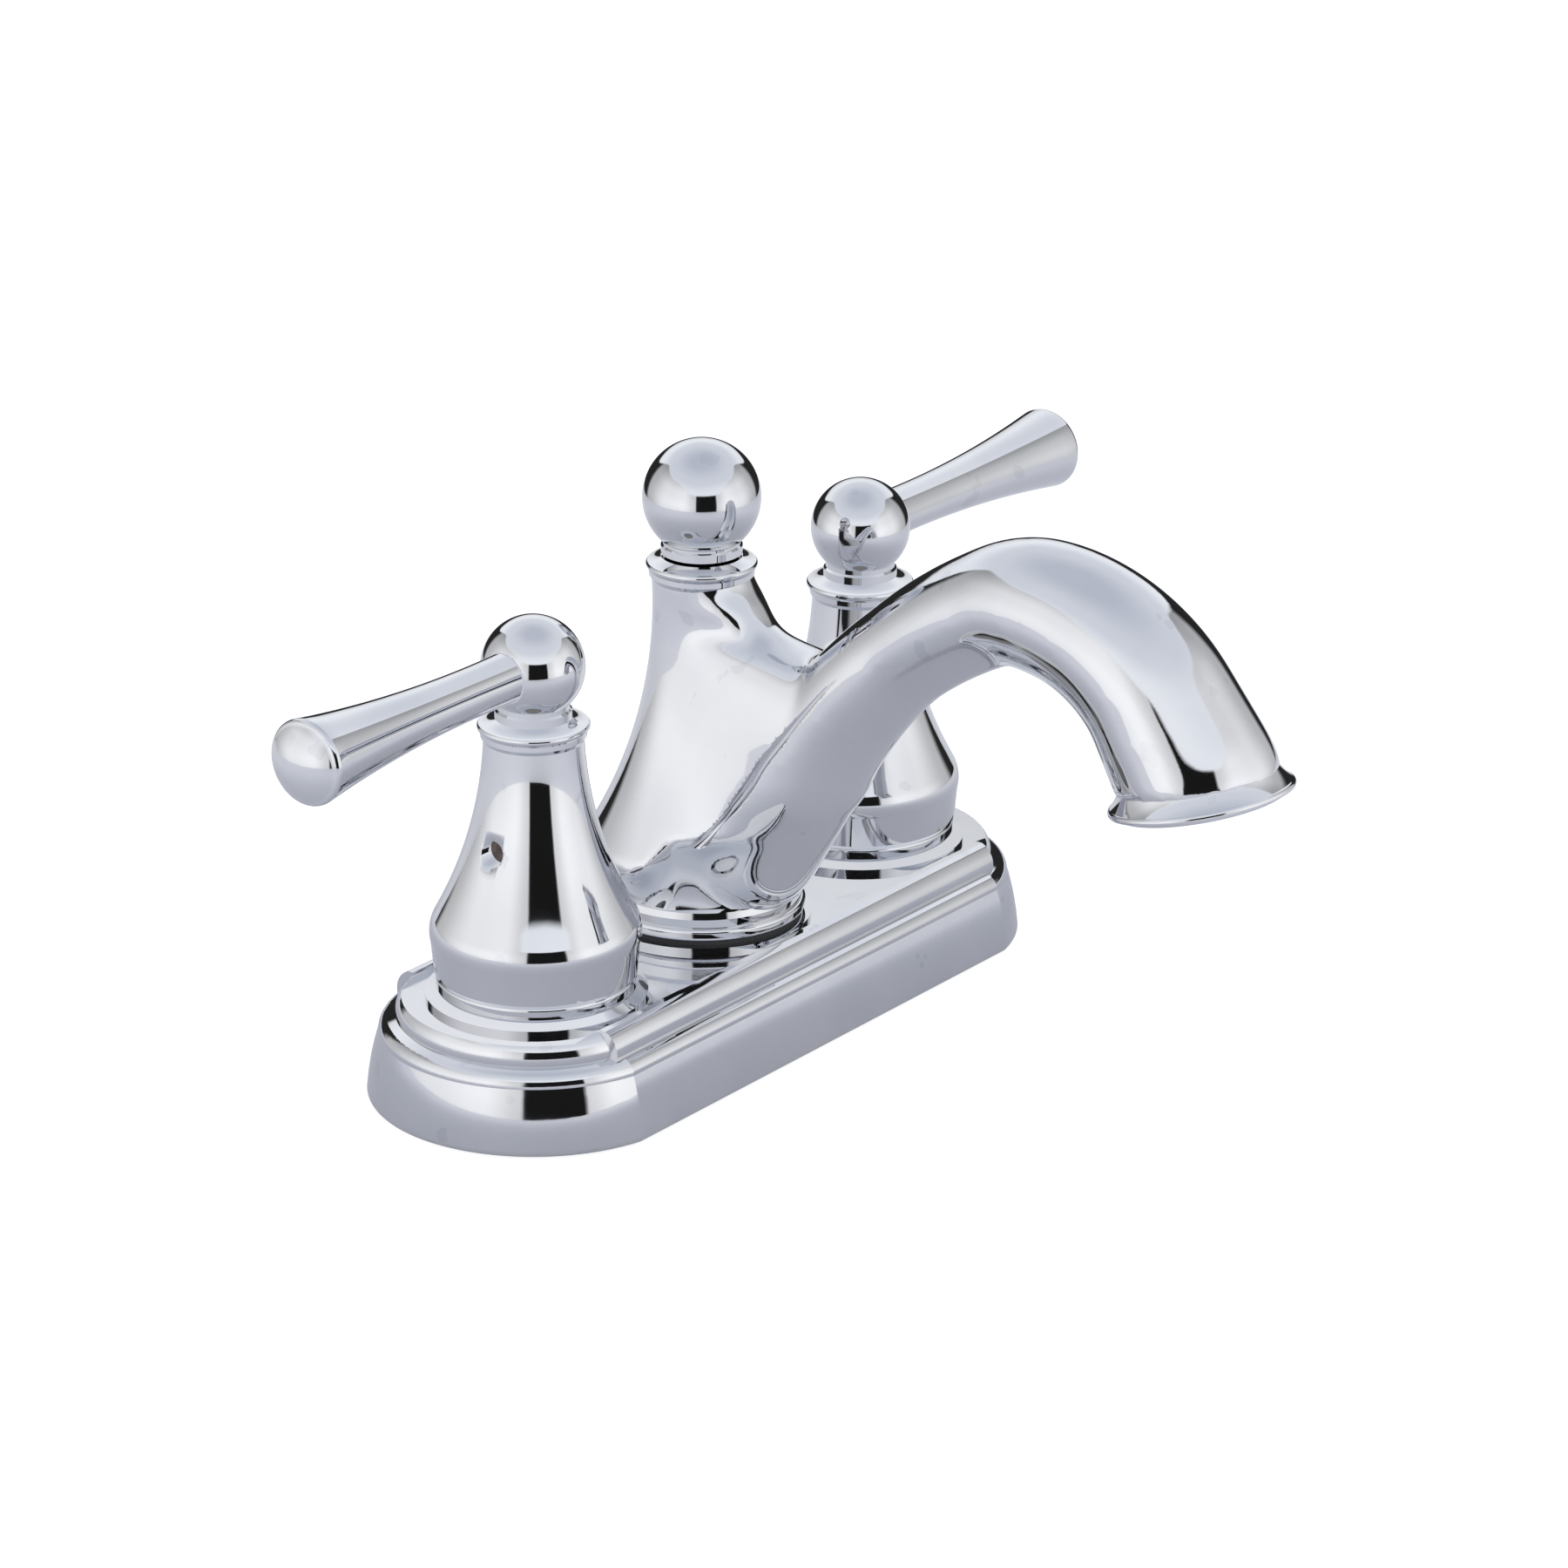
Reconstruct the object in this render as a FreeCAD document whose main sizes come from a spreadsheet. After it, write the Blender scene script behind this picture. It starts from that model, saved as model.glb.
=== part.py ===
import FreeCAD, Part
import math
import os
import re

import Sketcher

os.makedirs("parts", exist_ok=True)
doc = FreeCAD.newDocument("CentersetFaucet")

# Driving dimensions, in millimetres and degrees.
# The row of handles runs along X, the spout reaches towards -Y, and Z = 0 is the deck.
SIZES = {
    "handle_spacing": 101.6,
    "fit_gap": 0.05,
    "thread_gap": 0.1,
    "rest_gap": 0.3,
    "tool_overrun": 1.0,
    "base_foot_gap": 0.3,
    "gasket_thickness": 1.0,
    "gasket_inset": 2.6,
    "gasket_width": 5.0,
    "base_end_radius": 32.2,
    "base_side_trim": 0.9,
    "base_top_height": 21.0,
    "base_deck_drop": 1.0,
    "base_roof": 3.2,
    "base_wall": 2.6,
    "skirt_foot_round": 1.3,
    "skirt_lean": 2.3,
    "skirt_bow_radius": 55.0,
    "skirt_height": 13.2,
    "shoulder_run": 1.7,
    "shoulder_rise": 2.6,
    "shoulder_radius": 2.8,
    "ledge_width": 1.6,
    "bead_foot_rise": 0.6,
    "bead_width": 2.6,
    "bead_arc_radius": 4.4,
    "bead_back": 1.2,
    "strip_proud": 0.7,
    "strip_half_length": 60.0,
    "strip_foot_width": 3.12,
    "handle_seat_radius": 21.0,
    "spout_seat_radius": 21.2,
    "handle_lift": 0.6,
    "edge_round": 0.8,
    "handle_ring_radius": 18.9,
    "handle_ring_height": 3.0,
    "handle_quirk": 0.6,
    "belly_side_radius": 19.75,
    "belly_side_height": 31.2,
    "belly_arc_radius": 7.0,
    "bell_foot_radius": 19.2,
    "bell_foot_height": 36.2,
    "bell_curve_radius": 80.0,
    "bell_top_radius": 9.4,
    "collar_radius": 10.7,
    "collar_height": 73.6,
    "collar_bead_drop": 2.6,
    "collar_bead_swell": 0.5,
    "collar_edge": 0.8,
    "collar_dish_rise": 1.8,
    "collar_dish_radius": 5.0,
    "neck_radius": 7.2,
    "neck_ring_height": 1.5,
    "neck_quirk": 0.4,
    "ball_radius": 9.75,
    "ball_rise": 11.6,
    "cavity_wall": 2.8,
    "cavity_shoulder": 34.4,
    "cavity_top_radius": 10.8,
    "cavity_top": 43.5,
    "lever_neck_radius": 4.75,
    "lever_seat": 8.4,
    "lever_tip_radius": 8.1,
    "lever_reach": 62.9,
    "lever_flare_radius": 330.0,
    "lever_dome": 2.8,
    "lever_tenon_radius": 3.2,
    "lever_tenon_length": 5.0,
    "set_screw_height": 51.8,
    "set_screw_radius": 2.4,
    "set_screw_length": 6.0,
    "set_screw_socket": 1.25,
    "stem_radius": 3.9,
    "stem_top": 60.0,
    "stem_flange_height": 2.2,
    "disc_radius": 7.1,
    "disc_thickness": 2.5,
    "disc_port_radius": 2.2,
    "disc_port_offset": 3.9,
    "seal_thickness": 2.0,
    "seal_inset": 0.4,
    "valve_floor": 5.0,
    "valve_bore": 8.5,
    "valve_body_radius": 13.0,
    "valve_body_bottom": 1.5,
    "valve_neck_radius": 11.0,
    "valve_neck_top": 27.0,
    "cartridge_flange": 2.0,
    "cartridge_neck_radius": 6.4,
    "cartridge_top": 33.0,
    "locknut_flats": 27.0,
    "locknut_height": 3.4,
    "bonnet_flats": 25.0,
    "bonnet_skirt": 2.0,
    "bonnet_crown": 2.2,
    "oring_radius": 0.9,
    "oring_height": 22.0,
    "shank_radius": 10.4,
    "shank_bore": 6.5,
    "shank_length": 46.0,
    "shank_port": 4.0,
    "deck_thickness": 20.0,
    "mount_washer_radius": 19.0,
    "mount_washer_thickness": 2.0,
    "mount_nut_flats": 30.0,
    "mount_nut_height": 9.0,
    "wing_reach": 22.0,
    "wing_thickness": 4.0,
    "cross_tube_radius": 5.0,
    "cross_tube_bore": 3.4,
    "cross_tube_height": 6.6,
    "cross_tube_root": 9.5,
    "cross_bore_root": 5.5,
    "inlet_offset": 11.0,
    "inlet_block_radius": 7.0,
    "inlet_block_top": 11.8,
    "riser_radius": 4.3,
    "riser_bore": 3.0,
    "riser_top": 24.0,
    "sleeve_radius": 6.4,
    "sleeve_bore": 4.6,
    "sleeve_bottom": 12.6,
    "riser_oring_radius": 0.5,
    "sleeve_nut_flats": 15.5,
    "sleeve_nut_height": 3.4,
    "rod_radius": 2.4,
    "rod_gap": 0.3,
    "rod_length": 222.0,
    "foot_radius": 20.0,
    "foot_ring_height": 2.4,
    "waist_radius": 20.4,
    "waist_height": 30.4,
    "pedestal_belly_radius": 22.8,
    "pedestal_belly_height": 34.0,
    "pedestal_belly_arc": 4.0,
    "flank_foot_radius": 21.6,
    "flank_foot_height": 38.4,
    "flank_curve_radius": 92.0,
    "flank_top_radius": 9.6,
    "spout_collar_radius": 10.8,
    "spout_collar_height": 91.4,
    "spout_neck_radius": 7.8,
    "spout_gasket": 0.8,
    "finial_radius": 11.3,
    "finial_rise": 13.3,
    "finial_ring_height": 2.2,
    "arch_root_y": 11.7,
    "arch_root_height": 36.5,
    "arch_root_angle": 55.5,
    "arch_root_radius": 13.5,
    "arch_rise": 35.2,
    "arch_rise_radius": 11.35,
    "arch_sweep_radius": 98.0,
    "arch_sweep_turn": 28.3,
    "arch_waist_radius": 10.35,
    "arch_shoulder_radius": 11.2,
    "arch_crest_bend": 23.0,
    "arch_crest_radius": 12.55,
    "arch_fall_bend": 34.1,
    "arch_fall_turn": 50.0,
    "arch_fall_radius": 13.9,
    "arch_drop": 16.2,
    "arch_drop_angle": 56.0,
    "arch_outlet_radius": 15.2,
    "arch_outlet_angle": 76.0,
    "hood_radius": 12.0,
    "hood_reach": 22.4,
    "hood_height": 64.9,
    "hood_sink": 1.0,
    "hood_root_angle": 5.0,
    "hood_front_angle": 14.0,
    "hood_crown_angle": 30.0,
    "hood_end_angle": 38.0,
    "saddle_round": 7.0,
    "lip_radius": 17.2,
    "lip_neck_radius": 14.7,
    "lip_flare_height": 3.1,
    "lip_rim_height": 1.7,
    "lip_rim_radius": 15.9,
    "spout_bore": 5.6,
    "outlet_depth": 13.5,
    "aerator_radius": 11.2,
    "aerator_bore": 9.2,
    "aerator_length": 8.0,
    "aerator_recess": 1.0,
    "aerator_ledge": 1.5,
    "aerator_ledge_width": 0.8,
    "screen_thickness": 2.0,
    "screen_hole": 0.9,
    "screen_pitch": 3.2,
    "aerator_washer": 1.5,
    "aerator_washer_lap": 1.5,
}

sheet = doc.addObject("Spreadsheet::Sheet", "Sizes")
for row, (alias, number) in enumerate(SIZES.items(), 1):
    sheet.set("A%d" % row, alias)
    sheet.set("B%d" % row, str(number))
    sheet.setAlias("B%d" % row, alias)
doc.recompute()


def full(expression):
    """Write an expression's size names as references to the sheet."""
    return re.sub(r"[a-z][a-z_]+", lambda word: "Sizes." + word.group(0) if word.group(0) in SIZES
                  else word.group(0), expression)


def mm(expression):
    """Work out an expression in the sheet's sizes."""
    return float(sheet.evalExpression(full(expression)))


def bind(thing, target, expression):
    thing.setExpression(target, full(expression))


# Levels that several pieces share, as expressions in the sizes
DECK = "(base_top_height - base_deck_drop)"
ROOF = "(base_top_height - base_roof)"
HANDLE_FOOT = "(base_top_height + handle_lift)"
SPOUT_FOOT = "(base_top_height + spout_gasket)"
SEAL_TOP = "(valve_floor + seal_thickness)"
FIXED_TOP = "(valve_floor + seal_thickness + disc_thickness)"
MOVING_TOP = "(valve_floor + seal_thickness + 2 * disc_thickness)"
FLANGE_TOP = "(valve_floor + seal_thickness + 2 * disc_thickness + stem_flange_height)"
NECK_HOLE = "(valve_neck_radius + thread_gap)"
CARTRIDGE_RADIUS = "(valve_bore - thread_gap)"
FLANGE_LEVEL = "(valve_neck_top + cartridge_flange)"
SHANK_END = "(valve_body_bottom - shank_length)"
BALL_HEIGHT = "(collar_height + ball_rise)"
FINIAL_HEIGHT = "(spout_collar_height + finial_rise)"
FINIAL_FOOT = "(spout_collar_height + collar_dish_rise + rest_gap)"
SIDES = {"hot": -1, "cold": 1}


# Sketching helpers
def plane_of(body, role):
    return [feature for feature in body.Origin.OriginFeatures if feature.Role == role][0]


def new_body(label):
    body = doc.addObject("PartDesign::Body", label)
    body.Label = label
    return body


def new_sketch(body, name, role, offset=None):
    sketch = body.newObject("Sketcher::SketchObject", name)
    sketch.AttachmentSupport = [(plane_of(body, role), "")]
    sketch.MapMode = "FlatFace"
    if offset is not None:
        sketch.AttachmentOffset = offset
    return sketch


def arc_between(start, end, radius):
    """The shorter arc from start to end: it bulges to the right of the way, or left if radius is negative."""
    chord = end - start
    middle = (start + end) * 0.5
    rise = math.sqrt(max(radius * radius - chord.Length ** 2 / 4, 0))
    left = FreeCAD.Vector(-chord.y, chord.x, 0).normalize()
    clockwise = radius < 0
    centre = middle - left * rise if clockwise else middle + left * rise
    first, last = (end, start) if clockwise else (start, end)
    angles = [math.atan2(place.y - centre.y, place.x - centre.x) for place in (first, last)]
    if angles[1] < angles[0]:
        angles[1] += 2 * math.pi
    return Part.ArcOfCircle(Part.Circle(centre, FreeCAD.Vector(0, 0, 1), abs(radius)), *angles), clockwise


def draw_outline(sketch, corners):
    """Close an outline through corners (across, up); a third entry is the radius of an arc to the next."""
    places = [FreeCAD.Vector(mm(corner[0]), mm(corner[1]), 0) for corner in corners]
    edges = []
    for index, corner in enumerate(corners):
        start, end = places[index], places[(index + 1) % len(places)]
        if len(corner) == 3:
            sign = -1 if corner[2].startswith("-") else 1
            arc, clockwise = arc_between(start, end, sign * mm(corner[2].lstrip("-")))
            edge = sketch.addGeometry(arc)
            edges.append((edge, 2, 1) if clockwise else (edge, 1, 2))
        else:
            edge = sketch.addGeometry(Part.LineSegment(start, end))
            edges.append((edge, 1, 2))
    for index, corner in enumerate(corners):
        edge, start_point, end_point = edges[index]
        following = edges[(index + 1) % len(edges)]
        sketch.addConstraint(Sketcher.Constraint("Coincident", edge, end_point, following[0], following[1]))
        for kind, expression, number in (("DistanceX", corner[0], places[index].x),
                                         ("DistanceY", corner[1], places[index].y)):
            place = sketch.addConstraint(Sketcher.Constraint(kind, -1, 1, edge, start_point, number))
            bind(sketch, "Constraints[%d]" % place, expression)
        if len(corner) == 3:
            radius = corner[2].lstrip("-")
            place = sketch.addConstraint(Sketcher.Constraint("Radius", edge, mm(radius)))
            bind(sketch, "Constraints[%d]" % place, radius)


def draw_circle(sketch, radius, across="0", up="0"):
    centre = FreeCAD.Vector(mm(across), mm(up), 0)
    edge = sketch.addGeometry(Part.Circle(centre, FreeCAD.Vector(0, 0, 1), mm(radius)))
    for kind, expression, number in (("DistanceX", across, centre.x), ("DistanceY", up, centre.y)):
        place = sketch.addConstraint(Sketcher.Constraint(kind, -1, 1, edge, 3, number))
        bind(sketch, "Constraints[%d]" % place, expression)
    place = sketch.addConstraint(Sketcher.Constraint("Radius", edge, mm(radius)))
    bind(sketch, "Constraints[%d]" % place, radius)


def draw_hexagon(sketch, flats, across="0", up="0"):
    """A hexagon with two of its flats level."""
    half = "(%s) / 2" % flats
    corner = "(%s) / 2 / cos(30)" % flats
    draw_outline(sketch, [
        ("%s + %s" % (across, corner), up),
        ("%s + %s / 2" % (across, corner), "%s + %s" % (up, half)),
        ("%s - %s / 2" % (across, corner), "%s + %s" % (up, half)),
        ("%s - %s" % (across, corner), up),
        ("%s - %s / 2" % (across, corner), "%s - %s" % (up, half)),
        ("%s + %s / 2" % (across, corner), "%s - %s" % (up, half)),
    ])


def draw_long_round(sketch, radius):
    """A slot outline about both handles' axes."""
    far = "handle_spacing / 2"
    draw_outline(sketch, [
        ("-%s" % far, "-(%s)" % radius),
        (far, "-(%s)" % radius, radius),
        ("%s + (%s)" % (far, radius), "0", radius),
        (far, radius),
        ("-%s" % far, radius, radius),
        ("-%s - (%s)" % (far, radius), "0", radius),
    ])


# Feature helpers
def settle(body, feature, cuts, before):
    """Recompute, and make sure that a cut has taken something away."""
    feature.Profile[0].Visibility = False
    doc.recompute()
    if cuts and body.Shape.Volume > before - 0.001:
        raise RuntimeError("%s cuts nothing" % feature.Name)
    return feature


def turn(body, name, corners, cut=False, offset=None):
    """Turn an outline, drawn on XZ, about its own upright axis."""
    sketch = new_sketch(body, name + "_profile", "XZ_Plane", offset)
    draw_outline(sketch, corners)
    doc.recompute()
    before = body.Shape.Volume if cut else 0
    feature = body.newObject("PartDesign::Groove" if cut else "PartDesign::Revolution", name)
    feature.Profile = sketch
    feature.ReferenceAxis = (sketch, ["V_Axis"])
    feature.Angle = 360
    return settle(body, feature, cut, before)


def raise_up(body, name, draw, bottom, height, cut=False):
    """Pad, or pocket, what draw puts in a level sketch, from bottom up by height."""
    offset = FreeCAD.Placement(FreeCAD.Vector(0, 0, mm(bottom)), FreeCAD.Rotation())
    sketch = new_sketch(body, name + "_profile", "XY_Plane", offset)
    bind(sketch, "AttachmentOffset.Base.z", bottom)
    draw(sketch)
    doc.recompute()
    before = body.Shape.Volume if cut else 0
    feature = body.newObject("PartDesign::Pocket" if cut else "PartDesign::Pad", name)
    feature.Profile = sketch
    feature.Length = mm(height)
    bind(feature, "Length", height)
    feature.Reversed = cut
    return settle(body, feature, cut, before)


def rounds(*circles):
    """A drawing of circles, each (radius, across, up)."""
    def draw(sketch):
        for circle in circles:
            draw_circle(sketch, *circle)
    return draw


def nut(label, flats, bore, bottom, height, across="0", up="0"):
    body = new_body(label)

    def draw(sketch):
        draw_hexagon(sketch, flats, across, up)
        draw_circle(sketch, bore, across, up)
    raise_up(body, label + "_blank", draw, bottom, height)
    return body


def at_side(body, side):
    bind(body, "Placement.Base.x", "%d * handle_spacing / 2" % SIDES[side])


def two_shape(kind, name, base, tool):
    feature = doc.addObject(kind, name)
    feature.Base = base
    feature.Tool = tool
    return feature


nodes = []


def hand_in(feature, label):
    feature.Label = label
    nodes.append(feature)
    return feature


# Base plate
# A die-cast shell: its moulded edge is turned about each handle's axis and runs straight between
# them, a little narrower, so that the two meet at a mitre. The straight bead stands proud.
def moulding(edge):
    """The outside of the shell, from its foot in to its deck, for an outermost edge."""
    shoulder = "%s - skirt_lean - shoulder_run" % edge
    bead_foot = "%s - ledge_width" % shoulder
    crest = "%s - bead_width" % bead_foot
    return [
        ("0", "base_foot_gap"),
        ("%s - skirt_foot_round" % edge, "base_foot_gap", "skirt_foot_round"),
        (edge, "base_foot_gap + skirt_foot_round", "skirt_bow_radius"),
        ("%s - skirt_lean" % edge, "skirt_height", "shoulder_radius"),
        (shoulder, "skirt_height + shoulder_rise"),
        (bead_foot, "skirt_height + shoulder_rise + bead_foot_rise", "bead_arc_radius"),
        (crest, "base_top_height"),
        ("%s - bead_back" % crest, "base_top_height"),
        ("%s - bead_back - base_deck_drop" % crest, DECK),
        ("0", DECK),
    ]


def flipped(corners):
    """The same corners on the other side of the middle line, in the same sense of turning."""
    return [("-(%s)" % corners[index][0], corners[index][1]) + corners[index - 1][2:]
            for index in reversed(range(len(corners)))]


END = "base_end_radius"
SIDE = "base_end_radius - base_side_trim"

base_ends = []
for side in SIDES:
    end = new_body("base_end_" + side)
    turn(end, "base_end_turning_" + side, moulding(END))
    at_side(end, side)
    base_ends.append(end)

base_block = doc.addObject("Part::Box", "base_block")
bind(base_block, "Length", "handle_spacing")
bind(base_block, "Width", "2 * base_end_radius")
bind(base_block, "Height", "base_top_height")
bind(base_block, "Placement.Base.x", "-handle_spacing / 2")
bind(base_block, "Placement.Base.y", "-base_end_radius")

base_ends_and_block = doc.addObject("Part::MultiFuse", "base_ends_and_block")
base_ends_and_block.Shapes = base_ends + [base_block]

base_straight = new_body("base_straight")
straight_profile = new_sketch(base_straight, "base_straight_profile", "YZ_Plane")
half_moulding = moulding(SIDE)[1:-1]
draw_outline(straight_profile, half_moulding + flipped(half_moulding))
doc.recompute()
straight_run = base_straight.newObject("PartDesign::Pad", "base_straight_run")
straight_run.Profile = straight_profile
straight_run.Midplane = True
bind(straight_run, "Length", "handle_spacing + 2 * base_end_radius + 2 * tool_overrun")

base_form = two_shape("Part::Common", "base_form", base_ends_and_block, base_straight)

bead_strips = new_body("bead_strips")
STRIP_EDGE = SIDE + " - skirt_lean - shoulder_run - ledge_width + strip_proud"
STRIP_TOP = "base_top_height + strip_proud / 2"
LEDGE_HEIGHT = "skirt_height + shoulder_rise"
strip_corners = [
    (STRIP_EDGE + " - bead_width - bead_back", DECK),
    (STRIP_EDGE + " - strip_foot_width", LEDGE_HEIGHT),
    (STRIP_EDGE, LEDGE_HEIGHT, "bead_arc_radius"),
    (STRIP_EDGE + " - bead_width", STRIP_TOP),
    (STRIP_EDGE + " - bead_width - bead_back", STRIP_TOP),
]
for name, corners in (("rear", strip_corners), ("front", flipped(strip_corners))):
    strip_profile = new_sketch(bead_strips, "bead_strip_%s_profile" % name, "YZ_Plane")
    draw_outline(strip_profile, corners)
    doc.recompute()
    strip_run = bead_strips.newObject("PartDesign::Pad", "bead_strip_" + name)
    strip_run.Profile = strip_profile
    strip_run.Midplane = True
    strip_run.AllowMultiFace = True
    bind(strip_run, "Length", "2 * strip_half_length")
    doc.recompute()

base_seats = []
for side, direction in list(SIDES.items()) + [("spout", 0)]:
    seat = doc.addObject("Part::Cylinder", side + "_seat")
    bind(seat, "Radius", "spout_seat_radius" if side == "spout" else "handle_seat_radius")
    bind(seat, "Height", "base_roof")
    bind(seat, "Placement.Base.z", ROOF)
    bind(seat, "Placement.Base.x", "%d * handle_spacing / 2" % direction)
    base_seats.append(seat)

base_solid = doc.addObject("Part::MultiFuse", "base_solid")
base_solid.Shapes = [base_form, bead_strips] + base_seats

GASKET_EDGE = SIDE + " - gasket_inset"
base_hollow = new_body("base_hollow")
LOWER_HOLLOW = SIDE + " - skirt_lean - base_wall"
UPPER_HOLLOW = SIDE + " - skirt_lean - shoulder_run - ledge_width - base_wall"
raise_up(base_hollow, "lower_hollow", lambda sketch: draw_long_round(sketch, LOWER_HOLLOW),
         "gasket_thickness - tool_overrun", "skirt_height - base_wall - gasket_thickness + 2 * tool_overrun")
raise_up(base_hollow, "gasket_recess", lambda sketch: draw_long_round(sketch, GASKET_EDGE + " + fit_gap"),
         "-gasket_thickness", "2 * gasket_thickness")
raise_up(base_hollow, "upper_hollow", lambda sketch: draw_long_round(sketch, UPPER_HOLLOW),
         "gasket_thickness - tool_overrun", ROOF + " - gasket_thickness + tool_overrun")
raise_up(base_hollow, "deck_holes",
         rounds((NECK_HOLE, "-handle_spacing / 2", "0"), (NECK_HOLE, "handle_spacing / 2", "0"),
                ("sleeve_radius + thread_gap", "0", "-inlet_offset"), ("rod_radius + 2 * rod_gap", "0", "0")),
         "gasket_thickness", "base_top_height")
hand_in(two_shape("Part::Cut", "base_plate_casting", base_solid, base_hollow), "base_plate")

gasket = new_body("base_gasket")


def draw_gasket(sketch):
    draw_long_round(sketch, GASKET_EDGE)
    draw_long_round(sketch, GASKET_EDGE + " - gasket_width")


raise_up(gasket, "gasket_ring", draw_gasket, "0", "gasket_thickness")
hand_in(gasket, "base_gasket")


# Waterway body
# Two valve bodies with threaded shanks, joined by cross tubes that pass in front of the lift rod
# to a block, whose riser feeds the spout.
valve_bodies = []
for side in SIDES:
    valve = new_body("valve_body_" + side)
    turn(valve, "valve_turning_" + side, [
        ("shank_bore", SHANK_END),
        ("shank_radius", SHANK_END),
        ("shank_radius", "valve_body_bottom"),
        ("valve_body_radius", "valve_body_bottom"),
        ("valve_body_radius", ROOF),
        ("valve_neck_radius", ROOF),
        ("valve_neck_radius", "valve_neck_top"),
        ("valve_bore", "valve_neck_top"),
        ("valve_bore", "valve_floor"),
        ("shank_port", "valve_floor"),
        ("shank_port", "valve_body_bottom"),
        ("shank_bore", "valve_body_bottom"),
    ])
    at_side(valve, side)
    valve_bodies.append(valve)

inlet_block = new_body("inlet_block")
raise_up(inlet_block, "inlet_block_body", rounds(("inlet_block_radius", "0", "-inlet_offset")),
         "valve_body_bottom", "inlet_block_top - valve_body_bottom")
raise_up(inlet_block, "inlet_riser", rounds(("riser_radius", "0", "-inlet_offset")),
         "inlet_block_top - tool_overrun", "riser_top - inlet_block_top + tool_overrun")


def cross_tube(name, side, radius, start):
    """A level cylinder that begins so far from a valve's axis and ends on the inlet block's."""
    pipe = doc.addObject("Part::Cylinder", name)
    valve_axis = FreeCAD.Vector(SIDES[side] * mm("handle_spacing / 2"), 0, mm("cross_tube_height"))
    block_axis = FreeCAD.Vector(0, -mm("inlet_offset"), mm("cross_tube_height"))
    way = (block_axis - valve_axis).normalize()
    pipe.Placement = FreeCAD.Placement(valve_axis + way * mm(start),
                                       FreeCAD.Rotation(FreeCAD.Vector(0, 0, 1), way))
    bind(pipe, "Radius", radius)
    bind(pipe, "Height", "sqrt((handle_spacing / 2) ^ 2 + inlet_offset ^ 2) - " + start)
    return pipe


outer_pipes = [cross_tube("cross_tube_" + side, side, "cross_tube_radius", "cross_tube_root")
               for side in SIDES]
bore_pipes = [cross_tube("cross_bore_" + side, side, "cross_tube_bore", "cross_bore_root")
              for side in SIDES]

waterway_solid = doc.addObject("Part::MultiFuse", "waterway_solid")
waterway_solid.Shapes = valve_bodies + outer_pipes + [inlet_block]
riser_hole = doc.addObject("Part::Cylinder", "riser_hole")
bind(riser_hole, "Radius", "riser_bore")
bind(riser_hole, "Height", "riser_top - cross_tube_height + tool_overrun")
bind(riser_hole, "Placement.Base.y", "-inlet_offset")
bind(riser_hole, "Placement.Base.z", "cross_tube_height")
waterway_bores = doc.addObject("Part::MultiFuse", "waterway_bores")
waterway_bores.Shapes = bore_pipes + [riser_hole]
hand_in(two_shape("Part::Cut", "waterway_casting", waterway_solid, waterway_bores), "waterway_body")


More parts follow.
